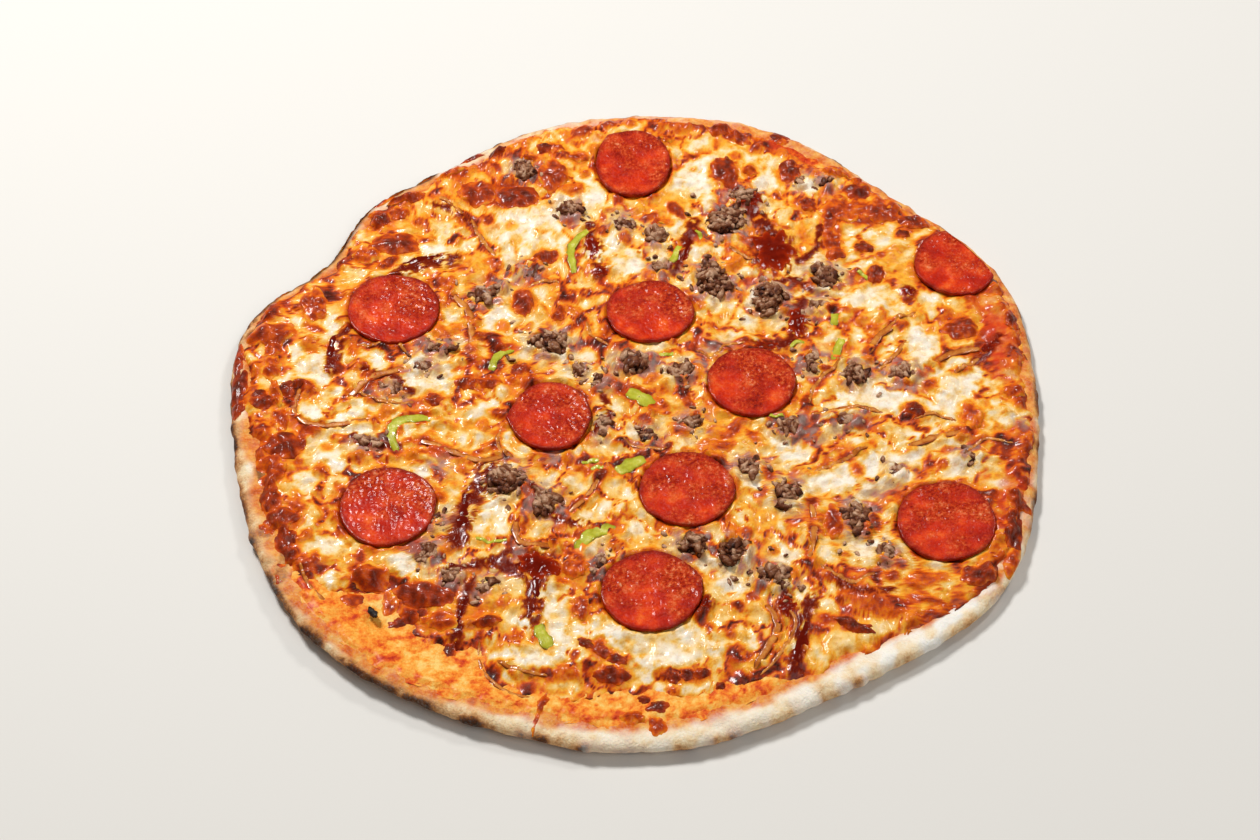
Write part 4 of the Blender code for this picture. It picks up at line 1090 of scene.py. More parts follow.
@dataclass
class Crust:
    """The dough: flat in the middle, with a low blistered rim."""

    sectors: int = 900
    seen_width: float = 46.0
    ring_spacing: float = 1.15
    nose_insets: tuple[float, ...] = (0.06, 0.2, 0.45, 0.85, 1.4, 2.1, 2.9, 3.8)
    inner_insets: tuple[float, ...] = (110.0, 75.0)
    under_insets: tuple[float, ...] = (5.0, 6.5, 8.5, 11.0, 14.0, 18.0, 30.0, 50.0, 80.0, 120.0)
    # Each swelling's height and how far apart they lie
    swells: tuple[tuple[float, float], ...] = ((0.6, 13.0), (0.36, 5.0), (0.16, 2.2))
    bubble_spacing: float = 8.0
    bubble_height: float = 0.55
    # Only cells with a larger share than this hold a bubble
    bubble_rarity: float = 0.62
    nose_width: float = 4.2
    lip_width: float = 1.5
    toasted_width: float = 14.0
    scorched_width: float = 7.0
    flour_width: float = 12.5
    most_flour: float = 0.97
    noise: Grain = field(default_factory=lambda: Grain(11))
    toast: Round = Round((
        (0, 0.55), (30, 0.4), (60, 0.55), (90, 0.55), (115, 0.75), (140, 0.9), (160, 1.0), (175, 0.95),
        (190, 0.75), (205, 0.6), (222, 0.9), (240, 0.8), (255, 0.65), (275, 0.45), (300, 0.32), (325, 0.32),
        (345, 0.6),
    ))
    floury: Round = Round((
        (0, 0.1), (60, 0.1), (100, 0.35), (125, 0.4), (160, 0.0), (200, 0.1), (250, 0.1), (270, 0.45),
        (290, 0.5), (305, 0.85), (318, 1.0), (335, 0.35),
    ))
    # How far the oil and tomato have run past the sauce's edge
    overrun: Round = Round((
        (0, 6.5), (30, 6.5), (60, 6.5), (90, 6.5), (105, 4.0), (125, 3.5), (150, 5.5), (165, 7.0),
        (180, 7.0), (200, 6.5), (215, 6.0), (235, 5.5), (252, 4.5), (290, 4.5), (303, 6.0), (320, 6.5),
        (335, 6.0),
    ))

    def swellings(self, x: Array, y: Array) -> Array:
        """The rim's bubbles and dents."""
        soft = sum(height * self.noise.at(x, y, size) for height, size in self.swells)
        nearest, _, share = self.noise.cells(x, y, self.bubble_spacing)
        bubble = np.sqrt(np.clip(1.0 - (nearest / (1.5 + 2.2 * share)) ** 2, 0.0, 1.0))
        return soft + self.bubble_height * (bubble * (share > self.bubble_rarity)) * share

    def ring(self, inset: float, over: bool) -> tuple[Array, Array]:
        """One ring of points.

        Args:
            inset: How far in the ring lies.
            over: Whether it is on the top and not on the underside.

        Returns:
            The points, and each one's swelling.
        """
        angle = round_angles(self.sectors)
        insets = np.full(self.sectors, inset)
        x, y = FORM.spot(angle, insets)
        height = FORM.dough_top(angle, insets) if over else FORM.dough_underside(angle, insets)
        across = min(1.0, max(0.0, 1.0 - inset / FORM.rim_round))
        covered = ease((insets - FORM.sauce_edge.at(angle) - 1.5) / 5.0)
        push = self.swellings(x, y) * (1.0 - covered)
        if not over:
            push = push * ease(1.0 - inset / FORM.underside_round)
        turn = np.radians(angle)
        outward = push * across
        upward = push * math.sqrt(1.0 - across * across) * (1.0 if over else -1.0)
        points = np.stack([x + outward * np.cos(turn), y + outward * np.sin(turn), height + upward], axis=-1)
        points[:, 2] = np.maximum(points[:, 2], 1.0 if over else 0.0)
        return points, push

    def build(self) -> Shell:
        """The dough's mesh, from the middle of its top over the rim to the middle of its underside."""
        top = [*self.nose_insets, *np.arange(4.8, self.seen_width, self.ring_spacing)]
        plan = [(inset, True) for inset in (*self.inner_insets, *reversed(top), 0.0)]
        plan += [(inset, False) for inset in (*self.nose_insets, *self.under_insets)]
        made = [self.ring(inset, over) for inset, over in plan]
        middle = np.array([-FORM.middle[0], -FORM.middle[1], 0.0])
        shell = lofted([points for points, _ in made], middle + [0, 0, FORM.base_thickness], middle)
        insets = np.concatenate([[150.0], np.repeat([inset for inset, _ in plan], self.sectors), [150.0]])
        over = np.concatenate([[True], np.repeat([side for _, side in plan], self.sectors), [False]])
        push = np.concatenate([[0.0], *(push for _, push in made), [0.0]])
        self.dress(shell, insets, over, push)
        return shell

    def dress(self, shell: Shell, inset: Array, over: Array, push: Array) -> None:
        """Works out where the dough is toasted, floury and stained.

        Args:
            shell: The mesh.
            inset: Each point's inset.
            over: Whether each point is on the top.
            push: Each point's swelling.
        """
        x, y = shell.points[:, 0], shell.points[:, 1]
        angle, _ = FORM.polar(x, y)
        baked = self.toast.at(angle)
        wander = self.noise.layered(x, y, 14.0, 3)
        nose = np.exp(-((inset / self.nose_width) ** 2))
        lip = np.exp(-((inset / self.lip_width) ** 2))
        toast = 0.12 + baked * (0.2 * ease(1.0 - inset / self.toasted_width) + 0.35 * nose)
        toast += 0.6 * baked * lip * np.clip(0.65 + 1.2 * wander, 0.0, 1.2)
        toast += 0.22 * np.clip(push, -0.4, 0.8) * nose + 0.2 * wander
        spots = ease((self.noise.layered(x, y, 9.0, 3) - 0.25) / 0.5)
        scorched = np.exp(-((inset / self.scorched_width) ** 2))
        below = 0.32 + 0.35 * spots + 0.1 * wander + 0.5 * baked * scorched
        toast = np.where(over, toast, np.maximum(toast, below))
        blotch = ease((self.noise.layered(x + 70.0, y, 6.0, 3) - 0.2) / 0.3) * ease(1.0 - inset / 10.0) * over
        browned = np.maximum(spread(BROWNED, x, y, 0.15 * wander, 0.5), blotch * baked) * over
        shell.marks["toast"] = np.clip(np.maximum(toast, 0.85 * browned), 0.0, 1.0)
        flour = self.floury.at(angle) * ease((self.noise.layered(x, y, 12.0, 3) + 0.35) / 0.7)
        flour = 1.1 * flour * ease((self.flour_width - inset) / 6.0)
        shell.marks["flour"] = np.clip(flour - 0.06, 0.0, self.most_flour)
        from_sauce = inset - FORM.sauce_edge.at(angle)
        stain = ease((from_sauce + self.overrun.at(angle) + 2.5 * wander) / 4.0)
        toasted = ease((shell.marks["toast"] - 0.45) / 0.3)
        shell.marks["stain"] = np.clip(stain, 0.0, 1.0) * over * (1.0 - 0.8 * toasted)
        shell.charts = flat_charts(x, y)
        shell.chart = np.where(over, np.where(inset > self.seen_width, 2, 0), 1)


@dataclass
class TomatoCoat:
    """The thin coat of tomato that shows between the cheese and the rim."""

    sectors: int = 900
    tucked: float = 0.2
    steps: tuple[float, ...] = (110.0, 70.0, *reversed((0.0, 0.25, 0.6, 1.1, *np.arange(1.7, 44.0, 1.05))))
    under_steps: tuple[float, ...] = (0.3, 3.0, 6.0, 9.0, 12.0, 16.0, 20.0, 25.0, 32.0, 60.0, 100.0)
    deepest_inset: float = 135.0
    noise: Grain = field(default_factory=lambda: Grain(23))

    def edge(self, angle: Array) -> Array:
        """The inset of the coat's ragged edge."""
        x, y = 150.0 * np.cos(np.radians(angle)), 150.0 * np.sin(np.radians(angle))
        return FORM.sauce_edge.at(angle) + 1.3 * self.noise.at(x, y, 9.0) + 0.6 * self.noise.at(x, y, 3.0)

    def top(self, angle: Array, inset: Array) -> Array:
        """The height of the coat's top."""
        full = FORM.gap + FORM.sauce_thickness
        x, y = FORM.spot(angle, inset)
        back = 0.8 + 2.2 * self.noise.layered(x, y, 7.0, 3)
        spread_out = ease((inset - FORM.sauce_edge.at(angle) - back) / 4.5)
        spread_out = spread_out * ease((inset - self.edge(angle)) / 1.2)
        return FORM.dough_top(angle, inset) + (full + self.tucked) * spread_out - self.tucked

    def build(self) -> Shell:
        """The coat's mesh, from the middle of its top out to its edge and back in underneath."""
        angle = round_angles(self.sectors)
        edge = self.edge(angle)
        rings = []
        for step in self.steps:
            inset = np.minimum(edge + step, self.deepest_inset)
            x, y = FORM.spot(angle, inset)
            grain = 0.3 * self.noise.layered(x, y, 3.0, 2) + 0.3 * self.noise.at(x, y, 9.0)
            height = self.top(angle, inset) + grain * ease(step / 3.0) * (step < 60.0)
            rings.append(np.stack([x, y, height], axis=-1))
        for step in self.under_steps:
            inset = edge + step
            x, y = FORM.spot(angle, inset)
            height = FORM.dough_top(angle, inset) + FORM.gap * ease(step / 4.0) - 0.4 * (step < 1.0)
            rings.append(np.stack([x, y, height], axis=-1))
        middle = np.array([-FORM.middle[0], -FORM.middle[1], FORM.base_thickness + FORM.gap])
        shell = lofted(rings, middle + [0, 0, FORM.sauce_thickness], middle)
        x, y = shell.points[:, 0], shell.points[:, 1]
        _, inset = FORM.polar(x, y)
        wander = self.noise.layered(x, y, 10.0, 3)
        near_rim = ease((edge.mean() + 14.0 - inset) / 12.0)
        red = 0.3 + 0.08 * near_rim + 0.26 * wander + 0.3 * self.noise.layered(x + 40.0, y, 3.2, 3)
        red = np.maximum(red, 0.72 * spread(TOMATO, x, y, 0.2 * wander, 0.6))
        shell.marks["red"] = np.clip(red, 0.0, 1.0)
        rim_scorch = 0.5 * ease((wander - 0.2) / 0.6) * ease((8.0 - inset) / 5.0)
        shell.marks["browned"] = np.clip(rim_scorch - 0.15, 0.0, 1.0)
        shell.charts = flat_charts(x, y)
        shell.chart = np.where(np.arange(len(x)) >= len(x) - len(self.under_steps) * self.sectors - 1, 2, 0)
        return shell


@dataclass
class CheeseSheet:
    """The melted cheese: mounds, creases and browned blisters, pressed down under what lies on it."""

    rows: int = 294
    under_steps: tuple[float, ...] = (1.0, 4.0, 8.0, 13.0, 20.0, 30.0, 60.0)
    least_inset: float = 1.3
    # Each kind of mound's height and spacing
    mounds: tuple[tuple[float, float], ...] = ((1.5, 12.0), (0.9, 5.5))
    mound_middle: float = 1.1
    bubble_spacing: float = 5.0
    domed_share: float = 0.4
    wide_cell: float = 14.0
    thread_cell: float = 7.5
    rim_blister_count: int = 110
    small_blister_count: int = 190
    freckle_count: int = 620
    scatter_radius: float = 150.0
    freckle_radius: float = 152.0
    seed: int = 31
    noise: Grain = field(default_factory=lambda: Grain(5))
    coat: TomatoCoat = field(default_factory=TomatoCoat)
    edge_round: Round = Round((
        (0, 5.0), (90, 5.0), (180, 5.5), (212, 8.0), (225, 15.0), (250, 14.0), (270, 14.0), (300, 9.0),
        (330, 5.0),
    ))
    # How much further out than the solid's even edge the cheese has run
    further: Round = Round((
        (0, 6.5), (10, 12.0), (18, 9.5), (27, 2.6), (40, 6.0), (53, 6.0), (60, 8.0), (68, 7.0), (80, 5.0),
        (100, 4.5), (125, 5.5), (150, 5.0), (168, 5.0), (186, 4.5), (205, 3.0), (214, 1.5), (223, 0.0),
        (290, 0.0), (300, 3.5), (312, 7.0), (322, 6.0), (330, 4.5), (345, 5.5),
    ))

    def __post_init__(self) -> None:
        """Lists what presses on the cheese, and scatters small blisters and freckles of browning."""
        self.slices = [Mark(*cut[:4], 1.0, cut.turn) for cut in PEPPERONI]
        self.meat = swollen((*BEEF, *BEEF_CRUMBS), 0.0, 1.0)
        self.peppers = stroke(GREEN_PEPPER, 1.25, 1.0)
        self.strips = stroke(ONION, 1.0, 1.0)
        self.shreds = stroke((*PEPPER_SHREDS, *ONION_SHREDS), 1.0, 1.0)
        self.runs = stroke(BARBECUE_RUNS, 1.35, 1.0) + swollen(BARBECUE_POOLS, 0.9, 1.0)
        self.domed = set(BROWNED)
        self.blister_marks = [*BROWNED, *WRINKLED]
        self.freckles = []
        draw = np.random.default_rng(self.seed)
        for _ in range(self.rim_blister_count):
            angle = (325.0 + draw.uniform(0.0, 250.0)) % 360.0
            inset = self.edge(np.array(angle)) + draw.uniform(1.0, 7.0)
            x, y = FORM.spot(np.array(angle), inset)
            size = draw.uniform(1.3, 3.4)
            long = size * draw.uniform(1.0, 2.2)
            strength = draw.uniform(0.5, 1.0)
            self.blister_marks.append(Mark(float(x), float(y), long, size, strength, angle + 90.0))
        for _ in range(self.small_blister_count):
            turn = draw.uniform(0.0, 2.0 * np.pi)
            out = self.scatter_radius * math.sqrt(draw.uniform(0.0, 1.0))
            size = draw.uniform(1.1, 2.6)
            long = size * draw.uniform(1.0, 2.4)
            strength = draw.uniform(0.55, 0.95)
            x, y = out * math.cos(turn), out * math.sin(turn)
            mark = Mark(x, y, long, size, strength, draw.uniform(0.0, 180.0))
            if self.busy(mark, 1.0):
                self.blister_marks.append(mark)
        for _ in range(self.freckle_count):
            turn = math.radians(draw.uniform(0.0, 360.0))
            out = self.freckle_radius * math.sqrt(draw.uniform(0.0, 1.0))
            size = 0.7 + 2.4 * draw.uniform(0.0, 1.0) ** 2
            long = size * draw.uniform(1.0, 2.6)
            x, y = out * math.cos(turn), out * math.sin(turn)
            mark = Mark(x, y, long, size, draw.uniform(0.3, 0.9), draw.uniform(0, 180))
            if self.busy(mark, 0.9):
                self.freckles.append(mark)

    def busy(self, mark: Mark, share: float) -> bool:
        """Whether a patch lies outside the given share of every calm place."""
        return all(share_out(calm, mark.x, mark.y) > share for calm in CALM)

    def even_edge(self, angle: Array) -> Array:
        """The inset of the cheese's edge without its raggedness."""
        return np.maximum(FORM.cheese_inset(angle) - self.further.at(angle), 2.0)

    def edge(self, angle: Array) -> Array:
        """The inset of the cheese's ragged edge."""
        x, y = 140.0 * np.cos(np.radians(angle)), 140.0 * np.sin(np.radians(angle))
        ragged = 1.5 * self.noise.at(x, y, 7.0) + 0.8 * self.noise.at(x, y, 2.6)
        return np.maximum(self.even_edge(angle) + ragged, self.least_inset)

    def lobes(self, x: Array, y: Array) -> Array:
        """How far the cheese's run edge stays back in lobes."""
        return 1.0 + 3.0 * self.noise.layered(x + 15.0, y - 80.0, 9.0, 3)

    def beyond(self, marks: Sequence[Mark], x: Array, y: Array, reach: float) -> Array:
        """The distance of places outside the nearest of some patches, negative inside, up to a reach."""
        apart = np.full_like(x, reach)
        for mark in marks:
            near = close_to(mark, x, y, max(mark.half_length, mark.half_width) + reach)
            share = share_out(mark, x[near], y[near])
            middle = 0.5 * (mark.half_length + mark.half_width)
            apart[near] = np.minimum(apart[near], (share - 1.0) * middle)
        return apart

    def blisters(self, x: Array, y: Array) -> Array:
        """The height of the blisters, as domes with flattened tops."""
        height = np.zeros_like(x)
        ragged = 0.14 * self.noise.layered(x, y, 5.0, 3)
        for mark in self.blister_marks:
            near = close_to(mark, x, y, max(mark.half_length, mark.half_width) * 1.15)
            share = share_out(mark, x[near], y[near]) + ragged[near]
            dome = np.clip(1.0 - share**2, 0.0, 1.0) ** 0.55
            tall = 0.9 + 1.5 * min(mark.half_length, mark.half_width) / 8.0
            tall = self.domed_share * tall if mark in self.domed else tall
            height[near] = np.maximum(height[near], tall * dome)
        for mark in self.freckles:
            near = close_to(mark, x, y, 6.0)
            dome = np.clip(1.0 - share_out(mark, x[near], y[near]) ** 2, 0.0, 1.0) ** 0.7
            height[near] = np.maximum(height[near], 0.42 * mark.half_width * dome)
        return height

    def relief(self, x: Array, y: Array) -> Array:
        """How far the cheese stands above its smooth top."""
        (broad, broad_size), (small, small_size) = self.mounds
        relief = broad * self.noise.mounds(x, y, broad_size)
        relief = relief + small * self.noise.mounds(x + 40.0, y, small_size) - self.mound_middle
        relief += 0.34 * self.noise.at(x, y, 3.2) + 0.1 * self.noise.at(x, y, 1.8)
        nearest, _, share = self.noise.cells(x, y, self.bubble_spacing)
        bubble = np.clip(1.0 - (nearest / (0.8 + 1.4 * share)) ** 2, 0.0, 1.0)
        relief += 0.4 * bubble * (share > 0.5)
        relief += self.blisters(x, y)
        wet = spread(self.runs, x, y, 0.2 * self.noise.at(x, y, 2.5), 0.5)
        relief += wet * (0.35 - 0.5 * relief)
        from_slice = self.beyond(self.slices, x, y, 8.0)
        from_meat = self.beyond(self.meat, x, y, 6.0)
        from_pepper = self.beyond(self.peppers, x, y, 5.0)
        from_strip = np.minimum(self.beyond(self.strips, x, y, 5.0), from_pepper)
        from_shred = self.beyond(self.shreds, x, y, 5.0)
        relief += 0.95 * bump(from_slice - 1.3, 1.4) + 0.9 * bump(from_meat - 0.4, 1.8)
        relief += 0.7 * bump(from_strip - 1.0, 1.1) + 0.6 * bump(from_shred, 1.6)
        cover = ease((self.noise.layered(x + 20.0, y + 60.0, 6.0, 2) + 0.02) / 0.25)
        cover = cover * (1.0 - 0.55 * ease(1.0 - from_pepper / 2.0))
        relief += 1.0 * cover * ease(1.0 - from_strip / 2.4) + 1.5 * cover * ease(1.0 - from_meat / 2.0)
        under_slice = ease(0.5 - from_slice / 1.2)
        under_strip = ease(0.5 - from_strip / 1.0) * (1.0 - cover)
        relief = relief * (1.0 - under_slice) - 0.6 * under_slice
        return relief * (1.0 - 0.8 * under_strip) + 0.1 * under_strip

    def surface(self, x: Array, y: Array) -> Array:
        """The height of the cheese at places on it."""
        angle, inset = FORM.polar(x, y)
        run = ease((inset - self.even_edge(angle) - self.lobes(x, y)) / self.edge_round.at(angle)) ** 0.5
        depth = run * ease((inset - self.edge(angle)) / 1.2)
        top = FORM.cheese_top(x, y) + self.relief(x, y)
        tucked = self.coat.top(angle, inset) - 0.25
        return tucked + (np.maximum(top, tucked + 0.6) - tucked) * depth

    def veins(self, x: Array, y: Array, wander: Array, fine: Array) -> tuple[Array, Array]:
        """The pattern of melted shreds: pale blobs, and browner seams and threads between them.

        Args:
            x: The places' x.
            y: The places' y.
            wander: Coarse noise at each place.
            fine: Fine noise at each place.

        Returns:
            How pale each place is as a blob, and how brown as a seam or thread.
        """
        warped_x, warped_y = x + 5.0 * wander, y + 5.0 * self.noise.layered(x - 60.0, y, 9.0, 3)
        wide_first, wide_second, wide_share = self.noise.cells(warped_x, warped_y, self.wide_cell)
        between = wide_second - wide_first
        seam = (bump(between, 3.6) + 0.6 * bump(between, 1.5)) * (0.35 + 1.1 * wide_share)
        blob = 1.0 - ease(wide_first / 6.5)
        first, second, share = self.noise.cells(warped_x + 70.0, warped_y, self.thread_cell)
        threads = bump(second - first, 0.9) * ease((share - 0.5) / 0.3)
        dark = bump(between, 1.4) * ease((wide_share - 0.45) / 0.25) * ease((0.5 + fine) / 0.6)
        return blob, 0.17 * seam + 0.1 * threads + 0.22 * dark

    def marks(self, x: Array, y: Array, height: Array) -> dict[str, Array]:
        """What colours the cheese.

        Args:
            x: The places' x.
            y: The places' y.
            height: How far each place stands above the smooth top.

        Returns:
            Four values from 0 to 1: how browned it is, how red with tomato, how covered with barbecue sauce,
            and how stained with the juice of the meat.
        """
        angle, inset = FORM.polar(x, y)
        wander = self.noise.layered(x, y, 11.0, 4)
        fine = self.noise.layered(x + 90.0, y - 35.0, 4.0, 3)
        waver = 0.2 * fine + 0.16 * wander
        cream = spread(CREAM, x, y, 1.5 * waver, 0.6)
        pale = np.clip(cream, 0.0, 1.0)
        oily = np.clip(spread(OILY, x, y, waver, 0.9), 0.0, 1.0)
        orange = np.clip(spread(ORANGE, x, y, waver, 0.9), 0.0, 1.0)
        browned = spread(self.blister_marks, x, y, waver, 0.45)
        core = np.clip(spread(swollen(self.blister_marks, -1.3, 1.0), x, y, waver, 0.7), 0.0, 1.0)
        halo = spread(swollen(self.blister_marks, 1.6, 1.0), x, y, waver, 0.7)
        freckles = spread(self.freckles, x, y, waver, 0.7)
        calm = spread(CALM, x, y, waver, 0.8)
        blob, veins = self.veins(x, y, wander, fine)
        tone = 0.25 + 0.13 * wander + 0.08 * fine - 0.03 * height - 0.13 * blob
        tone = tone + veins * (1.0 - 0.7 * np.clip(np.maximum(cream, calm), 0.0, 1.0))
        tone = tone - 0.16 * pale
        tone = tone + (0.37 - tone) * oily * 0.85
        tone = tone + (0.46 + 0.12 * wander - tone) * orange * 0.8
        tone = tone + 0.45 * freckles * (1.0 - 0.5 * cream)
        from_slice = self.beyond(self.slices, x, y, 8.0)
        from_meat = self.beyond(self.meat, x, y, 8.0)
        from_strip = self.beyond([*self.peppers, *self.strips, *self.shreds], x, y, 6.0)
        tone = tone + 0.16 * ease(1.0 - from_slice / 4.0) + 0.2 * ease(1.0 - from_strip / 2.6)
        tone = tone + 0.14 * ease(1.0 - from_meat / 4.0) * (0.6 + fine)
        rim = ease((self.even_edge(angle) + 7.0 + self.lobes(x, y) - inset) / 7.0)
        tone = tone + 0.2 * rim * (0.7 + 0.6 * fine)
        glaze = spread(self.runs, x, y, 0.6 * fine + 0.4 * wander, 0.9)
        glaze = glaze * ease((0.95 + wander + 1.2 * fine) / 0.7)
        tone = np.maximum(tone, np.maximum(0.46 * halo, 0.56 * np.clip(1.8 * glaze, 0.0, 1.0)))
        tone = np.maximum(tone, (0.74 + 0.16 * fine - 0.06 * core) * browned)
        red = spread(TOMATO, x, y, waver, 0.8) * (1.0 - browned)
        red = red + 0.5 * ease((wander - 0.45) / 0.4) * (1.0 - cream) * (1.0 - browned)
        milky = np.clip(spread(MILKY, x, y, waver, 0.8), 0.0, 1.0)
        juice = ease(1.0 - from_meat / 7.5) * ease((0.5 + wander + 0.6 * fine) / 0.8)
        juice = np.maximum(juice, milky * ease((0.6 + wander + 0.6 * fine) / 0.8))
        return {
            "tone": np.clip(tone, 0.0, 1.0),
            "red": np.clip(red - 0.15, 0.0, 0.85),
            "glaze": np.clip(glaze, 0.0, 1.0),
            "juice": np.clip(0.85 * juice * (0.55 + 0.9 * fine) * (1.0 - 0.7 * browned), 0.0, 0.7),
        }

    def build(self) -> Shell:
        """The cheese's mesh: a square grid drawn out to the cheese's outline, closed by rings underneath."""
        line = np.linspace(-1.0, 1.0, self.rows)
        a, b = (side.ravel() for side in np.meshgrid(line, line, indexing="ij"))
        wide = np.abs(a) >= np.abs(b)
        out = np.where(wide, a, b)
        safe = np.where(out == 0.0, 1.0, out)
        turn = np.where(wide, 0.25 * np.pi * b / safe, 0.5 * np.pi - 0.25 * np.pi * a / safe)
        level_x, level_y = out * np.cos(turn), out * np.sin(turn)
        share = np.hypot(level_x, level_y)
        angle = np.degrees(np.arctan2(level_y, level_x)) % 360.0
        even = FORM.cheese_inset(angle)
        inset = FORM.reach.at(angle) - share * (FORM.reach.at(angle) - even)
        inset = inset + (self.edge(angle) - even) * ease((share - 0.86) / 0.14)
        x, y = FORM.spot(angle, inset)
        points = np.stack([x, y, self.surface(x, y)], axis=-1)
        index = np.arange(self.rows**2).reshape(self.rows, self.rows)
        quads = np.stack([index[:-1, :-1], index[1:, :-1], index[1:, 1:], index[:-1, 1:]], axis=-1)
        quads = quads.reshape(-1, 4)
        loop = np.concatenate([index[:-1, 0], index[-1, :-1], index[:0:-1, -1], index[0, :0:-1]])
        rings = []
        for step in self.under_steps:
            ring_inset = np.minimum(self.edge(angle[loop]) + step, 120.0)
            ring_x, ring_y = FORM.spot(angle[loop], ring_inset)
            floor = self.coat.top(angle[loop], ring_inset) - 0.8 - 0.3 * (step < 2.0)
            rings.append(np.stack([ring_x, ring_y, floor], axis=-1))
        middle = np.array([-FORM.middle[0], -FORM.middle[1], FORM.base_thickness + 0.4])
        around = len(loop)
        starts = [len(points) + around * step for step in range(len(rings))]
        step, onwards = np.arange(around), (np.arange(around) + 1) % around
        skirts = [np.stack([loop[onwards], loop[step], starts[0] + step, starts[0] + onwards], axis=-1)]
        for first, second in zip(starts, starts[1:]):
            skirts.append(np.stack([first + onwards, first + step, second + step, second + onwards], axis=-1))
        centre = len(points) + len(rings) * around
        fan = np.stack([starts[-1] + onwards, starts[-1] + step, np.full(around, centre)], axis=-1)
        everything = np.concatenate([points, *rings, middle[None]])
        above = np.zeros(len(everything))
        above[: len(points)] = points[:, 2] - FORM.cheese_top(x, y)
        marks = self.marks(everything[:, 0], everything[:, 1], above)
        shell = Shell(everything, np.concatenate([quads, *skirts]), fan, marks)
        shell.charts = flat_charts(everything[:, 0], everything[:, 1])
        shell.chart = np.where(np.arange(len(everything)) >= len(points), 2, 0)
        return shell


@dataclass
class PepperoniSlices:
    """Slices of pepperoni that follow the cheese, each a little dished and curled."""

    sectors: int = 190
    rest_gap: float = -0.15
    curl: float = 0.55
    least_inset: float = 5.2
    # Where the rings lie as shares of the slice's radius: over the top, round the edge with each ring's share
    # of the thickness, and underneath with each ring's height
    top_shares: tuple[float, ...] = tuple(np.linspace(0.03, 0.955, 42))
    edge_rings: tuple[tuple[float, float], ...] = ((0.975, 0.97), (0.99, 0.88), (1.0, 0.6), (1.0, 0.25))
    under_rings: tuple[tuple[float, float], ...] = ((0.985, 0.05), (0.9, 0.0), (0.5, 0.0))
    # A slice's drawn-out corner: its direction, and how far it reaches as a share of the slice's size
    corners: dict[int, tuple[float, float]] = field(
        default_factory=lambda: {1: (128.0, 0.09), 5: (184.0, 0.17), 7: (215.0, 0.05), 8: (20.0, 0.05)}
    )
    noise: Grain = field(default_factory=lambda: Grain(41))

    def build(self, number: int, cut: Lump) -> Shell:
        """One slice's mesh.

        Args:
            number: Which slice it is.
            cut: Its place and size.

        Returns:
            The mesh, with how near each point is to the cut edge and how crackled it is; the crackled part,
            which carries a painted highlight, lies towards the slice's lit upper right.
        """
        angle = np.arange(self.sectors) * 2.0 * np.pi / self.sectors
        bend = self.noise.at(2.0 * np.cos(angle) + 9.0 * number, 2.0 * np.sin(angle), 1.6)
        fine = self.noise.at(np.cos(angle) * 9, np.sin(angle) * 9 + number, 1.0)
        outline = 1.0 + 0.04 * bend + 0.012 * fine
        corner, far = self.corners.get(number, (0.0, 0.0))
        apart = (np.degrees(angle) + cut.turn - corner + 180.0) % 360.0 - 180.0
        outline = outline + far * np.exp(-np.abs(apart) / 16.0) - 0.3 * far
        plan = [(share, cut.height) for share in self.top_shares]
        plan += [(share, thickness * cut.height) for share, thickness in self.edge_rings]
        rings, edges = [], []
        for share, lift in (*plan, *self.under_rings):
            along = share * outline * cut.half_length * np.cos(angle)
            across = share * outline * cut.half_width * np.sin(angle)
            at, inset = FORM.polar(*placed(cut, along, across))
            x, y = FORM.spot(at, np.maximum(inset, self.least_inset))
            height = FORM.cheese_top(x, y) + self.rest_gap + (self.curl + 0.35 * bend) * share**4 + lift
            if lift > 0.5 * cut.height:
                ripple = 0.2 * self.noise.at(x, y, 4.0) + 0.16 * self.noise.at(x, y, 1.5)
                ripple += 0.1 * self.noise.at(x + 33.0, y, 0.9)
                height = height + ripple * ease((1.05 - share) / 0.2) + 0.12 * self.noise.at(x, y, 9.0)
            rings.append(np.stack([x, y, height], axis=-1))
            edges.append(np.full(self.sectors, ease(np.array((share - 0.86) / 0.13)) * 0.85))
        shell = lofted(rings, rings[0].mean(axis=0), rings[-1].mean(axis=0))
        x, y = shell.points[:, 0], shell.points[:, 1]
        # The crackled part is laid towards every slice's upper right, the side where light falls, so its
        # paler colours paint a highlight there
        towards = 0.5 * (x - cut.x) / cut.half_length + 0.9 * (y - cut.y) / cut.half_width
        crackle_and_painted_highlight = 0.45 + 0.5 * towards + 0.9 * self.noise.layered(x, y, 14.0, 3)
        shell.marks["crackle_and_painted_highlight"] = np.clip(crackle_and_painted_highlight, 0.0, 1.0)
        edge = np.concatenate([[0.0], *edges, [0.0]])
        shell.marks["edge"] = np.clip(edge * (0.75 + 0.5 * self.noise.at(x, y, 5.0)), 0.0, 1.0)
        return shell


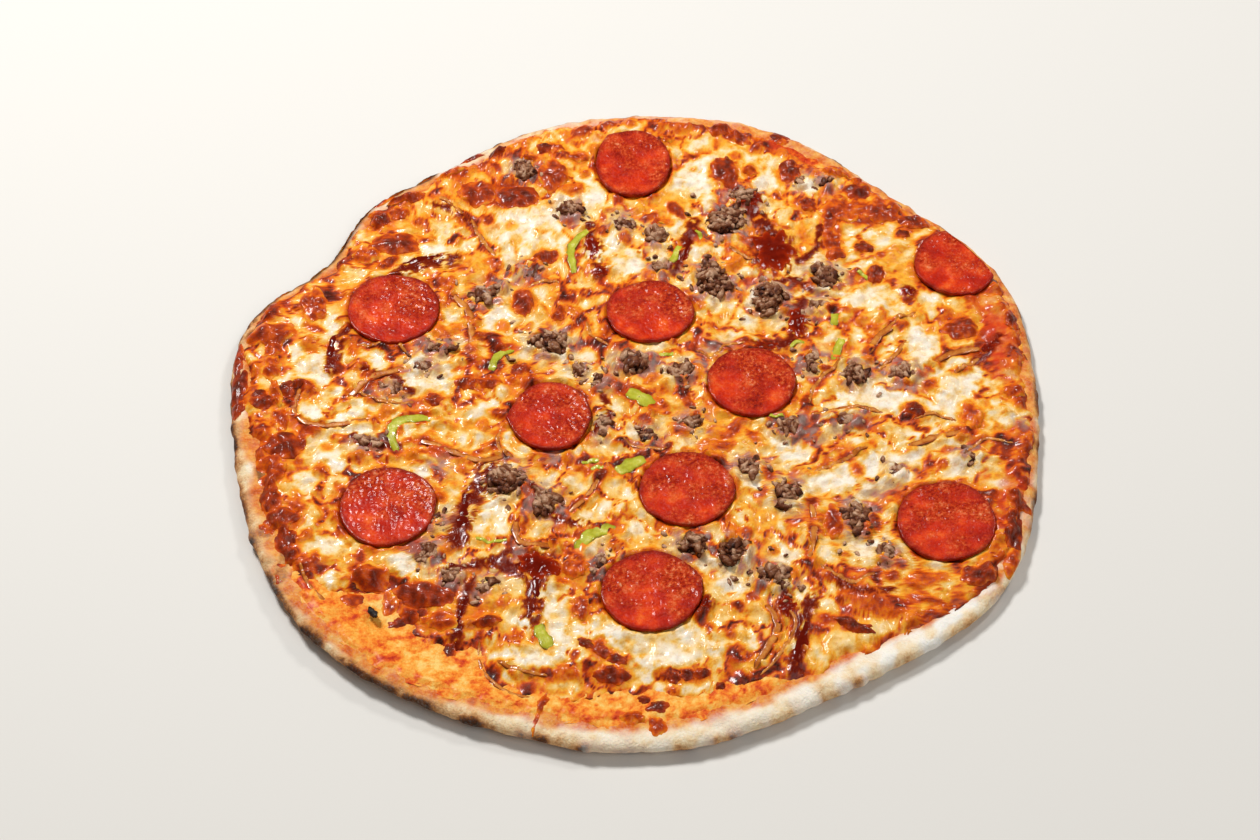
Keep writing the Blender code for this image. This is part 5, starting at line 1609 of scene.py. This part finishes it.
@dataclass
class BeefLumps:
    """Crumbled beef: short pressed strings of mince, heaped together and sunk into the cheese."""

    granule: float = 1.45
    # A granule's half length, half width and half height as shares of its size
    granule_form: tuple[float, float, float] = (1.6, 0.95, 0.85)
    crumb_form: tuple[float, float, float] = (1.6, 0.9, 0.8)
    crumb_count: int = 430
    crumb_least_inset: float = 22.0
    ragged: float = 1.15
    cover: float = 1.6
    sunk: float = 1.2
    detail: int = 2
    # Waves of a lump's outline: how many go round it, and their height as a share
    bends: tuple[tuple[int, float], ...] = ((2, 0.2), (3, 0.16), (5, 0.1))
    # The turn from one granule to the next, in radians, which spaces them evenly
    golden_turn: float = 2.4
    seed: int = 3
    balls: dict[int, tuple[Array, Array]] = field(default_factory=dict)

    def ball(self, detail: int) -> tuple[Array, Array]:
        """The points and triangles of a unit ball, divided as finely as asked."""
        if detail not in self.balls:
            bm = bmesh.new()
            bmesh.ops.create_icosphere(bm, subdivisions=detail, radius=1.0)
            points = np.array([vertex.co for vertex in bm.verts])
            faces = np.array([[vertex.index for vertex in face.verts] for face in bm.faces])
            bm.free()
            self.balls[detail] = (points, faces)
        return self.balls[detail]

    def grain(self, place: Array, size: Array, draw: np.random.Generator, detail: int, tone: float) -> Shell:
        """One granule's mesh, lying in a random way with a tilt.

        Args:
            place: Its middle.
            size: Its half length, half width and half height.
            draw: Where its random shape comes from.
            detail: How finely it is divided.
            tone: How light the meat is, before the painted shade is added.

        Returns:
            The mesh, with how light the meat is at each point, including painted shade: lighter on top and on
            bulges, darker underneath and in dents.
        """
        ball, faces = self.ball(detail)
        offset = Vector(draw.uniform(-90.0, 90.0, 3))
        rough = np.array([noise.noise(Vector(p * size) / 1.7 + offset) for p in ball])
        fine = np.array([noise.noise(Vector(p * size) / 0.75 - offset) for p in ball])
        shaped = ball * size * (1.0 + self.ragged * (0.6 * rough + 0.32 * fine))[:, None]
        tip = draw.uniform(-0.5, 0.5)
        turn = draw.uniform(0.0, 2.0 * np.pi)
        lift = shaped[:, 2] * math.cos(tip) + shaped[:, 0] * math.sin(tip)
        run = shaped[:, 0] * math.cos(tip) - shaped[:, 2] * math.sin(tip)
        x = run * math.cos(turn) - shaped[:, 1] * math.sin(turn)
        y = run * math.sin(turn) + shaped[:, 1] * math.cos(turn)
        points = place + np.stack([x, y, lift], axis=-1)
        # Painted shade: lighter on the granule's top and bulges, darker underneath and in its dents
        shade = tone + 0.35 * ball[:, 2] + 0.5 * rough + 0.3 * fine
        return Shell(points, np.zeros((0, 4), int), faces, {"tone": np.clip(shade, 0.0, 1.0)})

    def bed(self, x: float, y: float) -> float:
        """The height of the cheese's smooth top at one place."""
        return float(FORM.cheese_top(np.array([x]), np.array([y]))[0])

    def build(self, number: int, lump: Lump) -> Shell:
        """One lump's mesh.

        Args:
            number: Which lump it is.
            lump: Its place and size.

        Returns:
            The mesh, with how light the meat is at each point, including painted shade.
        """
        draw = np.random.default_rng(self.seed + number)
        count = max(3, int(self.cover * lump.half_length * lump.half_width / self.granule**2))
        bends = [(order, share, draw.uniform(0.0, 2.0 * np.pi)) for order, share in self.bends]
        grains = []
        for index in range(count):
            out = 0.92 * math.sqrt((index + 0.5) / count)
            angle = self.golden_turn * index + draw.uniform(-0.4, 0.4)
            waves = [share * math.cos(order * angle + phase) for order, share, phase in bends]
            out_here = out * (1.0 + sum(waves))
            along = out_here * (lump.half_length - 0.5 * self.granule) * math.cos(angle)
            across = out_here * (lump.half_width - 0.5 * self.granule) * math.sin(angle)
            x, y = placed(lump, along, across)
            size = self.granule * draw.uniform(0.55, 1.5) * np.array(self.granule_form)
            size = np.minimum(size, 0.7 * max(lump.half_length, lump.half_width))
            heap = max(0.0, lump.height - size[2] - 0.6) * (1.0 - out**1.6) * draw.uniform(0.6, 1.0)
            place = np.array([x, y, self.bed(x, y) - self.sunk + 0.9 * size[2] + heap])
            grains.append(self.grain(place, size, draw, self.detail, draw.uniform(0.15, 0.6)))
        return joined(grains)

    def scattered(self) -> Shell:
        """Loose crumbs around the lumps, as one mesh."""
        draw = np.random.default_rng(self.seed)
        lumps = (*BEEF, *BEEF_CRUMBS)
        grains = []
        for _ in range(self.crumb_count):
            lump = lumps[draw.integers(len(lumps))]
            angle, out = draw.uniform(0.0, 2.0 * np.pi), 1.0 + 1.6 * draw.uniform(0.0, 1.0) ** 1.5
            x = lump.x + out * lump.half_length * math.cos(angle)
            y = lump.y + out * lump.half_width * math.sin(angle)
            clear = all(share_out(cut, x, y) > 1.12 for cut in PEPPERONI)
            if not clear or FORM.polar(np.array(x), np.array(y))[1] < self.crumb_least_inset:
                continue
            size = draw.uniform(0.5, 1.2) * np.array(self.crumb_form)
            place = np.array([x, y, self.bed(x, y) + draw.uniform(-0.4, 0.6)])
            grains.append(self.grain(place, size, draw, self.detail, draw.uniform(0.3, 0.7)))
        return joined(grains)


@dataclass
class Strips:
    """Strips of vegetable or sauce that lie on the cheese."""

    around: int = 14
    spacing: float = 0.6
    noise: Grain = field(default_factory=lambda: Grain(57))

    def build(
        self,
        number: int,
        strand: Strand,
        cheese: CheeseSheet | None,
        sunk: float,
        hollow: float,
        ragged: float,
    ) -> Shell:
        """One strip's mesh.

        Args:
            number: Which strip it is.
            strand: Its route and size.
            cheese: The sheet whose relief it follows, or None for the cheese's smooth top.
            sunk: How far its underside lies below that, as a share of its height.
            hollow: How far its top is hollowed along its middle, as a share of its height.
            ragged: How uneven its sides are, as a share of its width.

        Returns:
            The mesh, with a tone along and across it that is painted lighter on its top and darker
            underneath.
        """
        places = curve_through(strand.route, self.spacing)
        count = len(places)
        along = np.arange(count) * self.spacing
        here = along + 50.0 * number
        run = np.gradient(places, axis=0)
        run = run / np.linalg.norm(run, axis=1, keepdims=True)
        side = np.stack([-run[:, 1], run[:, 0]], axis=-1)
        part = np.linspace(0.0, 1.0, count)
        tip = np.sqrt(np.clip(1.0 - np.abs(2.0 * part - 1.0) ** 5, 0.0, 1.0)) * 0.85 + 0.15
        vary = 1.0 + 0.25 * self.noise.at(here, along * 0.0, 6.0)
        left = self.noise.layered(here, along * 0.0 + 9.0, 4.0, 2)
        right = self.noise.layered(here, along * 0.0 - 9.0, 4.0, 2)
        lean = 0.35 * self.noise.at(along + 200.0 * number, along * 0.0 + 5.0, 5.0)
        bob = 0.18 * self.noise.at(along, along * 0.0 + 30.0 * number, 6.0)
        x, y = places[:, 0], places[:, 1]
        bed = cheese.surface(x, y) if cheese else FORM.cheese_top(x, y) + FORM.gap
        angle = np.arange(self.around) * 2.0 * np.pi / self.around
        rings, tones_with_painted_shade = [], []
        for index in range(count):
            width = 0.5 * strand.width * tip[index] * vary[index]
            uneven = np.where(np.cos(angle) > 0.0, left[index], right[index])
            across = width * np.sign(np.cos(angle)) * np.abs(np.cos(angle)) ** 0.8 * (1.0 + ragged * uneven)
            up = 0.5 * strand.height * tip[index] * (1.0 + np.sin(angle))
            dip = hollow * strand.height * (1.0 - (across / width) ** 2) * (np.sin(angle) > 0.0)
            height = bed[index] - sunk * strand.height + up - dip + bob[index]
            height = height + lean[index] * across / width * 0.4
            level = places[index] + across[:, None] * side[index]
            rings.append(np.concatenate([level, height[:, None]], axis=1))
            edge = np.abs(across) / width
            # Darker at the sides and ends; the sine term is painted shade, lighter on the top and darker
            # underneath
            tones_with_painted_shade.append(0.62 - 0.3 * edge**3 + 0.18 * np.sin(angle) - 0.25 * (1.0 - tip[index]))
        shell = lofted(rings, rings[0].mean(axis=0), rings[-1].mean(axis=0))
        shell.marks["tone"] = np.clip(np.concatenate([[0.3], *tones_with_painted_shade, [0.3]]), 0.0, 1.0)
        return shell


@dataclass
class Domes:
    """Low domes with wandering outlines on the cheese: pools of sauce, and blisters of browned cheese."""

    cheese: CheeseSheet
    sectors: int = 72
    ragged: float = 0.5
    bend_size: float = 1.3
    fullness: float = 0.385
    flatness: float = 3.0
    wrinkle: float = 0.06
    wrinkle_size: float = 2.4
    least_inset: float = 0.7
    edge_tuck: float = 0.35
    under_depth: float = 0.8
    under_ring: int = 6
    shares: tuple[float, ...] = (*np.linspace(0.05, 0.85, 14), 0.92, 0.97, 1.0)
    noise: Grain = field(default_factory=lambda: Grain(71))

    def build(self, lumps: Sequence[Lump]) -> list[Shell]:
        """The domes' meshes, each with how far out its points lie.

        Args:
            lumps: The domes' places and sizes.

        Returns:
            One mesh for each, marked with `share`, from 0 in its middle to 1 at its edge.
        """
        angle = np.arange(self.sectors) * 2.0 * np.pi / self.sectors
        share = np.array(self.shares)[:, None]
        plans = []
        for number, lump in enumerate(lumps):
            bend_x, bend_y = 2.0 * np.cos(angle) + 7.0 * number, 2.0 * np.sin(angle)
            wobble = self.noise.layered(bend_x, bend_y, self.bend_size, 3)
            out = share * (1.0 + self.ragged * wobble)
            x, y = placed(lump, out * lump.half_length * np.cos(angle), out * lump.half_width * np.sin(angle))
            at, inset = FORM.polar(x, y)
            plans.append(np.stack(FORM.spot(at, np.maximum(inset, self.least_inset))))
        places = np.stack(plans, axis=1)
        beds = self.cheese.surface(places[0].ravel(), places[1].ravel()).reshape(places[0].shape)
        rough = self.noise.layered(places[0], places[1], self.wrinkle_size, 2)
        shells = []
        for lump, x, y, bed, creased in zip(lumps, places[0], places[1], beds, rough):
            depth = self.fullness * lump.height * np.clip(1.0 - share**self.flatness, 0.0, 1.0) ** 0.7
            wrinkles = self.wrinkle * lump.height * creased * (1.3 - share)
            height = bed + depth + wrinkles - self.edge_tuck * (share > 0.99)
            rings = list(np.stack([x, y, height], axis=-1))
            under = [ring - [0.0, 0.0, self.under_depth] for ring in (rings[-1], rings[self.under_ring])]
            shell = lofted([*rings, *under], rings[0].mean(axis=0), under[-1].mean(axis=0))
            ring_shares = np.repeat([*self.shares, 1.0, 1.0], self.sectors)
            shell.marks["share"] = np.concatenate([[0.0], ring_shares, [1.0]])
            shells.append(shell)
        return shells


@dataclass
class BarbecueDrizzle:
    """Pools and trails of barbecue sauce, thick in the middle and thin at the edges."""

    cheese: CheeseSheet
    sunk: float = 0.92
    ragged: float = 0.35

    def build(self) -> Shell:
        """All the pools and trails as one mesh."""
        shells = Domes(self.cheese).build(BARBECUE_POOLS)
        for shell in shells:
            shell.marks = {"tone": 0.66 - 0.6 * shell.marks["share"] ** 4}
        strips = Strips(around=16)
        for number, strand in enumerate(BARBECUE_TRAILS):
            shells.append(strips.build(number, strand, self.cheese, self.sunk, 0.0, self.ragged))
        return joined(shells)


@dataclass
class BrownedCheese:
    """Blisters of cheese that puffed up and browned, on the sheet and along the rim."""

    cheese: CheeseSheet
    least_half_width: float = 2.2
    seed: int = 19
    noise: Grain = field(default_factory=lambda: Grain(83))

    def chain(self, mark: Mark, draw: np.random.Generator) -> list[Lump]:
        """Splits one browned patch into a few domes along its length."""
        long, short = max(mark.half_length, mark.half_width), min(mark.half_length, mark.half_width)
        count = max(1, round(0.8 * long / short))
        turn = mark.turn + (90.0 if mark.half_width > mark.half_length else 0.0)
        lumps = []
        for index in range(count):
            along = (2.0 * (index + 0.5) / count - 1.0) * long
            aside = draw.uniform(-0.25, 0.25) * short * (count > 1)
            x, y = placed(mark._replace(turn=turn), along, aside)
            size = short * draw.uniform(0.85, 1.0)
            far = max(1.12 * long / count, size) * draw.uniform(0.9, 1.05)
            lumps.append(Lump(x, y, far, size, 0.5 + 0.11 * size, turn + draw.uniform(-12.0, 12.0)))
        return lumps

    def build(self) -> Shell:
        """All the blisters as one mesh, coloured as the sheet is."""
        draw = np.random.default_rng(self.seed)
        lumps = [lump for mark in BROWNED for lump in self.chain(mark, draw)]
        lumps = [lump for lump in lumps if lump.half_width > self.least_half_width]
        domes = Domes(
            self.cheese,
            sectors=44,
            ragged=0.3,
            bend_size=1.8,
            fullness=1.0,
            flatness=2.0,
            wrinkle=0.3,
            wrinkle_size=2.6,
            shares=(0.08, 0.2, 0.32, 0.44, 0.56, 0.66, 0.75, 0.83, 0.9, 0.95, 1.0),
        )
        shells = domes.build([*lumps, *RIM_CHEESE])
        for shell in shells:
            fine = self.noise.layered(shell.points[:, 0], shell.points[:, 1], 3.6, 2)
            tone = draw.uniform(0.6, 0.82) - 0.22 * shell.marks["share"] ** 3 + 0.16 * fine
            empty = np.zeros(len(tone))
            shell.marks = {"tone": np.clip(tone, 0.0, 1.0), "red": empty, "glaze": empty, "juice": empty}
        return joined(shells)


@dataclass(frozen=True)
class Lamp:
    """A square lamp that points at the pizza: its place, its side and its power in watts."""

    name: str
    place: tuple[float, float, float]
    side: float
    power: float

    def build(self) -> None:
        """Makes the lamp."""
        light = bpy.data.lights.new(self.name, "AREA")
        light.size = self.side * METRES_PER_MM
        light.energy = self.power
        made = bpy.data.objects.new(self.name, light)
        made.location = Vector(self.place) * METRES_PER_MM
        made.rotation_euler = (-Vector(self.place)).to_track_quat("-Z", "Y").to_euler()
        bpy.context.scene.collection.objects.link(made)


@dataclass
class Studio:
    """A plain pale floor, soft lights, and a camera that looks down at the pizza from the eater's side."""

    floor_side: float = 6000.0
    floor_colour: str = "#E9E6E0"
    camera_place: tuple[float, float, float] = (-1.4, -575.4, 755.9)
    camera_tilt: float = 37.0
    lens: float = 66.7
    sensor: float = 36.0
    lamps: tuple[Lamp, ...] = (
        Lamp("key", (-520.0, 620.0, 1150.0), 260.0, 15.5),
        Lamp("fill", (650.0, -700.0, 1200.0), 900.0, 4.2),
        Lamp("window", (620.0, 560.0, 900.0), 180.0, 3.0),
    )
    sky: str = "#F8F2EA"
    sky_strength: float = 0.17

    def floor(self) -> None:
        """Makes the floor."""
        half = 0.5 * self.floor_side * METRES_PER_MM
        mesh = bpy.data.meshes.new("floor")
        corners = [(-half, -half, 0.0), (half, -half, 0.0), (half, half, 0.0), (-half, half, 0.0)]
        mesh.from_pydata(corners, [], [(0, 1, 2, 3)])
        board = Wiring(Skin("pale_matt_board", roughness=0.8))
        board.shader.inputs["Base Color"].default_value = linear(self.floor_colour)
        mesh.materials.append(board.material)
        made = bpy.data.objects.new("floor", mesh)
        bpy.context.scene.collection.objects.link(made)

    def build(self) -> None:
        """Makes the floor, the lights and the camera."""
        self.floor()
        for lamp in self.lamps:
            lamp.build()
        world = bpy.data.worlds.new("studio")
        world.use_nodes = True
        background = world.node_tree.nodes["Background"]
        background.inputs["Color"].default_value = linear(self.sky)
        background.inputs["Strength"].default_value = self.sky_strength
        bpy.context.scene.world = world
        camera = bpy.data.objects.new("camera", bpy.data.cameras.new("camera"))
        camera.data.lens = self.lens
        camera.data.sensor_width = self.sensor
        camera.location = Vector(self.camera_place) * METRES_PER_MM
        camera.rotation_euler = (math.radians(self.camera_tilt), 0.0, 0.0)
        bpy.context.scene.collection.objects.link(camera)
        bpy.context.scene.camera = camera
        bpy.context.scene.view_settings.view_transform = "Standard"


@dataclass
class Toppings:
    """What lies on the cheese: slices, beef, strips of vegetable and one seed."""

    cheese: CheeseSheet
    seed_height: float = 8.6
    beef: BeefLumps = field(default_factory=BeefLumps)
    strips: Strips = field(default_factory=Strips)

    def lay_meat(self) -> None:
        """Makes the pepperoni, the beef and its crumbs."""
        slices, sausage = PepperoniSlices(), CuredSausage().material()
        for number, cut in enumerate(PEPPERONI, 1):
            name = f"pepperoni_{number:02d}"
            slices.build(number, cut).piece(f"{name}_slice", sausage, Slot.PEPPERONI, [name])
        mince = CrumbledBeef().material()
        for number, lump in enumerate(BEEF, 1):
            name = f"beef_{number:02d}"
            self.beef.build(number, lump).piece(f"{name}_lump", mince, Slot.BEEF, [name])
        crumbs = [self.beef.build(number, lump) for number, lump in enumerate(BEEF_CRUMBS, 50)]
        joined([*crumbs, self.beef.scattered()]).piece("beef_crumbs", mince, Slot.BEEF, [])

    def lay_vegetables(self) -> None:
        """Makes the strips and shreds of pepper and onion."""
        green = CookedVegetable("roasted_green_pepper").material()
        for number, strand in enumerate(GREEN_PEPPER, 1):
            name = f"pepper_{number:02d}"
            flat = strand._replace(width=1.35 * strand.width, height=0.8 * strand.height)
            made = self.strips.build(number, flat, None, 0.45, 0.35, 0.35)
            made.piece(f"{name}_strip", green, Slot.PEPPER, [name])
        amber_stops = ((0.0, "#3C1004"), (0.35, "#7E2E08"), (0.65, "#B86016"), (1.0, "#E89C44"))
        amber = CookedVegetable("softened_onion", stops=amber_stops).material()
        for number, strand in enumerate(ONION, 1):
            name = f"onion_{number:02d}"
            made = self.strips.build(20 + number, strand, None, 0.35, 0.2, 0.3)
            made.piece(f"{name}_strip", amber, Slot.ONION, [name])
        for name, strands, material, slot in (
            ("pepper_shreds", PEPPER_SHREDS, green, Slot.PEPPER),
            ("onion_shreds", ONION_SHREDS, amber, Slot.ONION),
        ):
            shreds = []
            for number, strand in enumerate(strands, 40):
                shreds.append(self.strips.build(number, strand, self.cheese, 0.6, 0.1, 0.3))
            joined(shreds).piece(name, material, slot, [])

    def lay_seed(self) -> None:
        """Makes the one dark seed."""
        place = np.array([SEED.x, SEED.y, self.seed_height])
        size = np.array([SEED.half_length, SEED.half_width, SEED.height])
        seed = self.beef.grain(place, size, np.random.default_rng(8), 3, 0.0)
        charred = CrumbledBeef("charred_seed", stops=((0.0, "#0C0A0A"), (0.5, "#2A2422"), (1.0, "#6A625C")))
        seed.piece("dark_seed", charred.material(), Slot.BEEF, [])


def main() -> None:
    """Builds the pizza's pieces and the studio."""
    logging.basicConfig(level=logging.INFO, format="%(name)s %(message)s")
    Studio().build()
    Crust().build().piece("crust_dough", BakedDough().material(), Slot.DOUGH, ["crust"])
    cheese = CheeseSheet()
    cheese.coat.build().piece("tomato_coat", CrushedTomato().material(), Slot.TOMATO, ["tomato_sauce"])
    melted = MeltedCheese().material()
    cheese.build().piece("cheese_sheet", melted, Slot.CHEESE, ["cheese"])
    toppings = Toppings(cheese)
    toppings.lay_meat()
    toppings.lay_vegetables()
    BarbecueDrizzle(cheese).build().piece("barbecue_drizzle", BarbecueGlaze().material(), Slot.BARBECUE, [])
    toppings.lay_seed()
    BrownedCheese(cheese).build().piece("browned_cheese", melted, Slot.CHEESE, [])


if __name__ == "__main__":
    main()
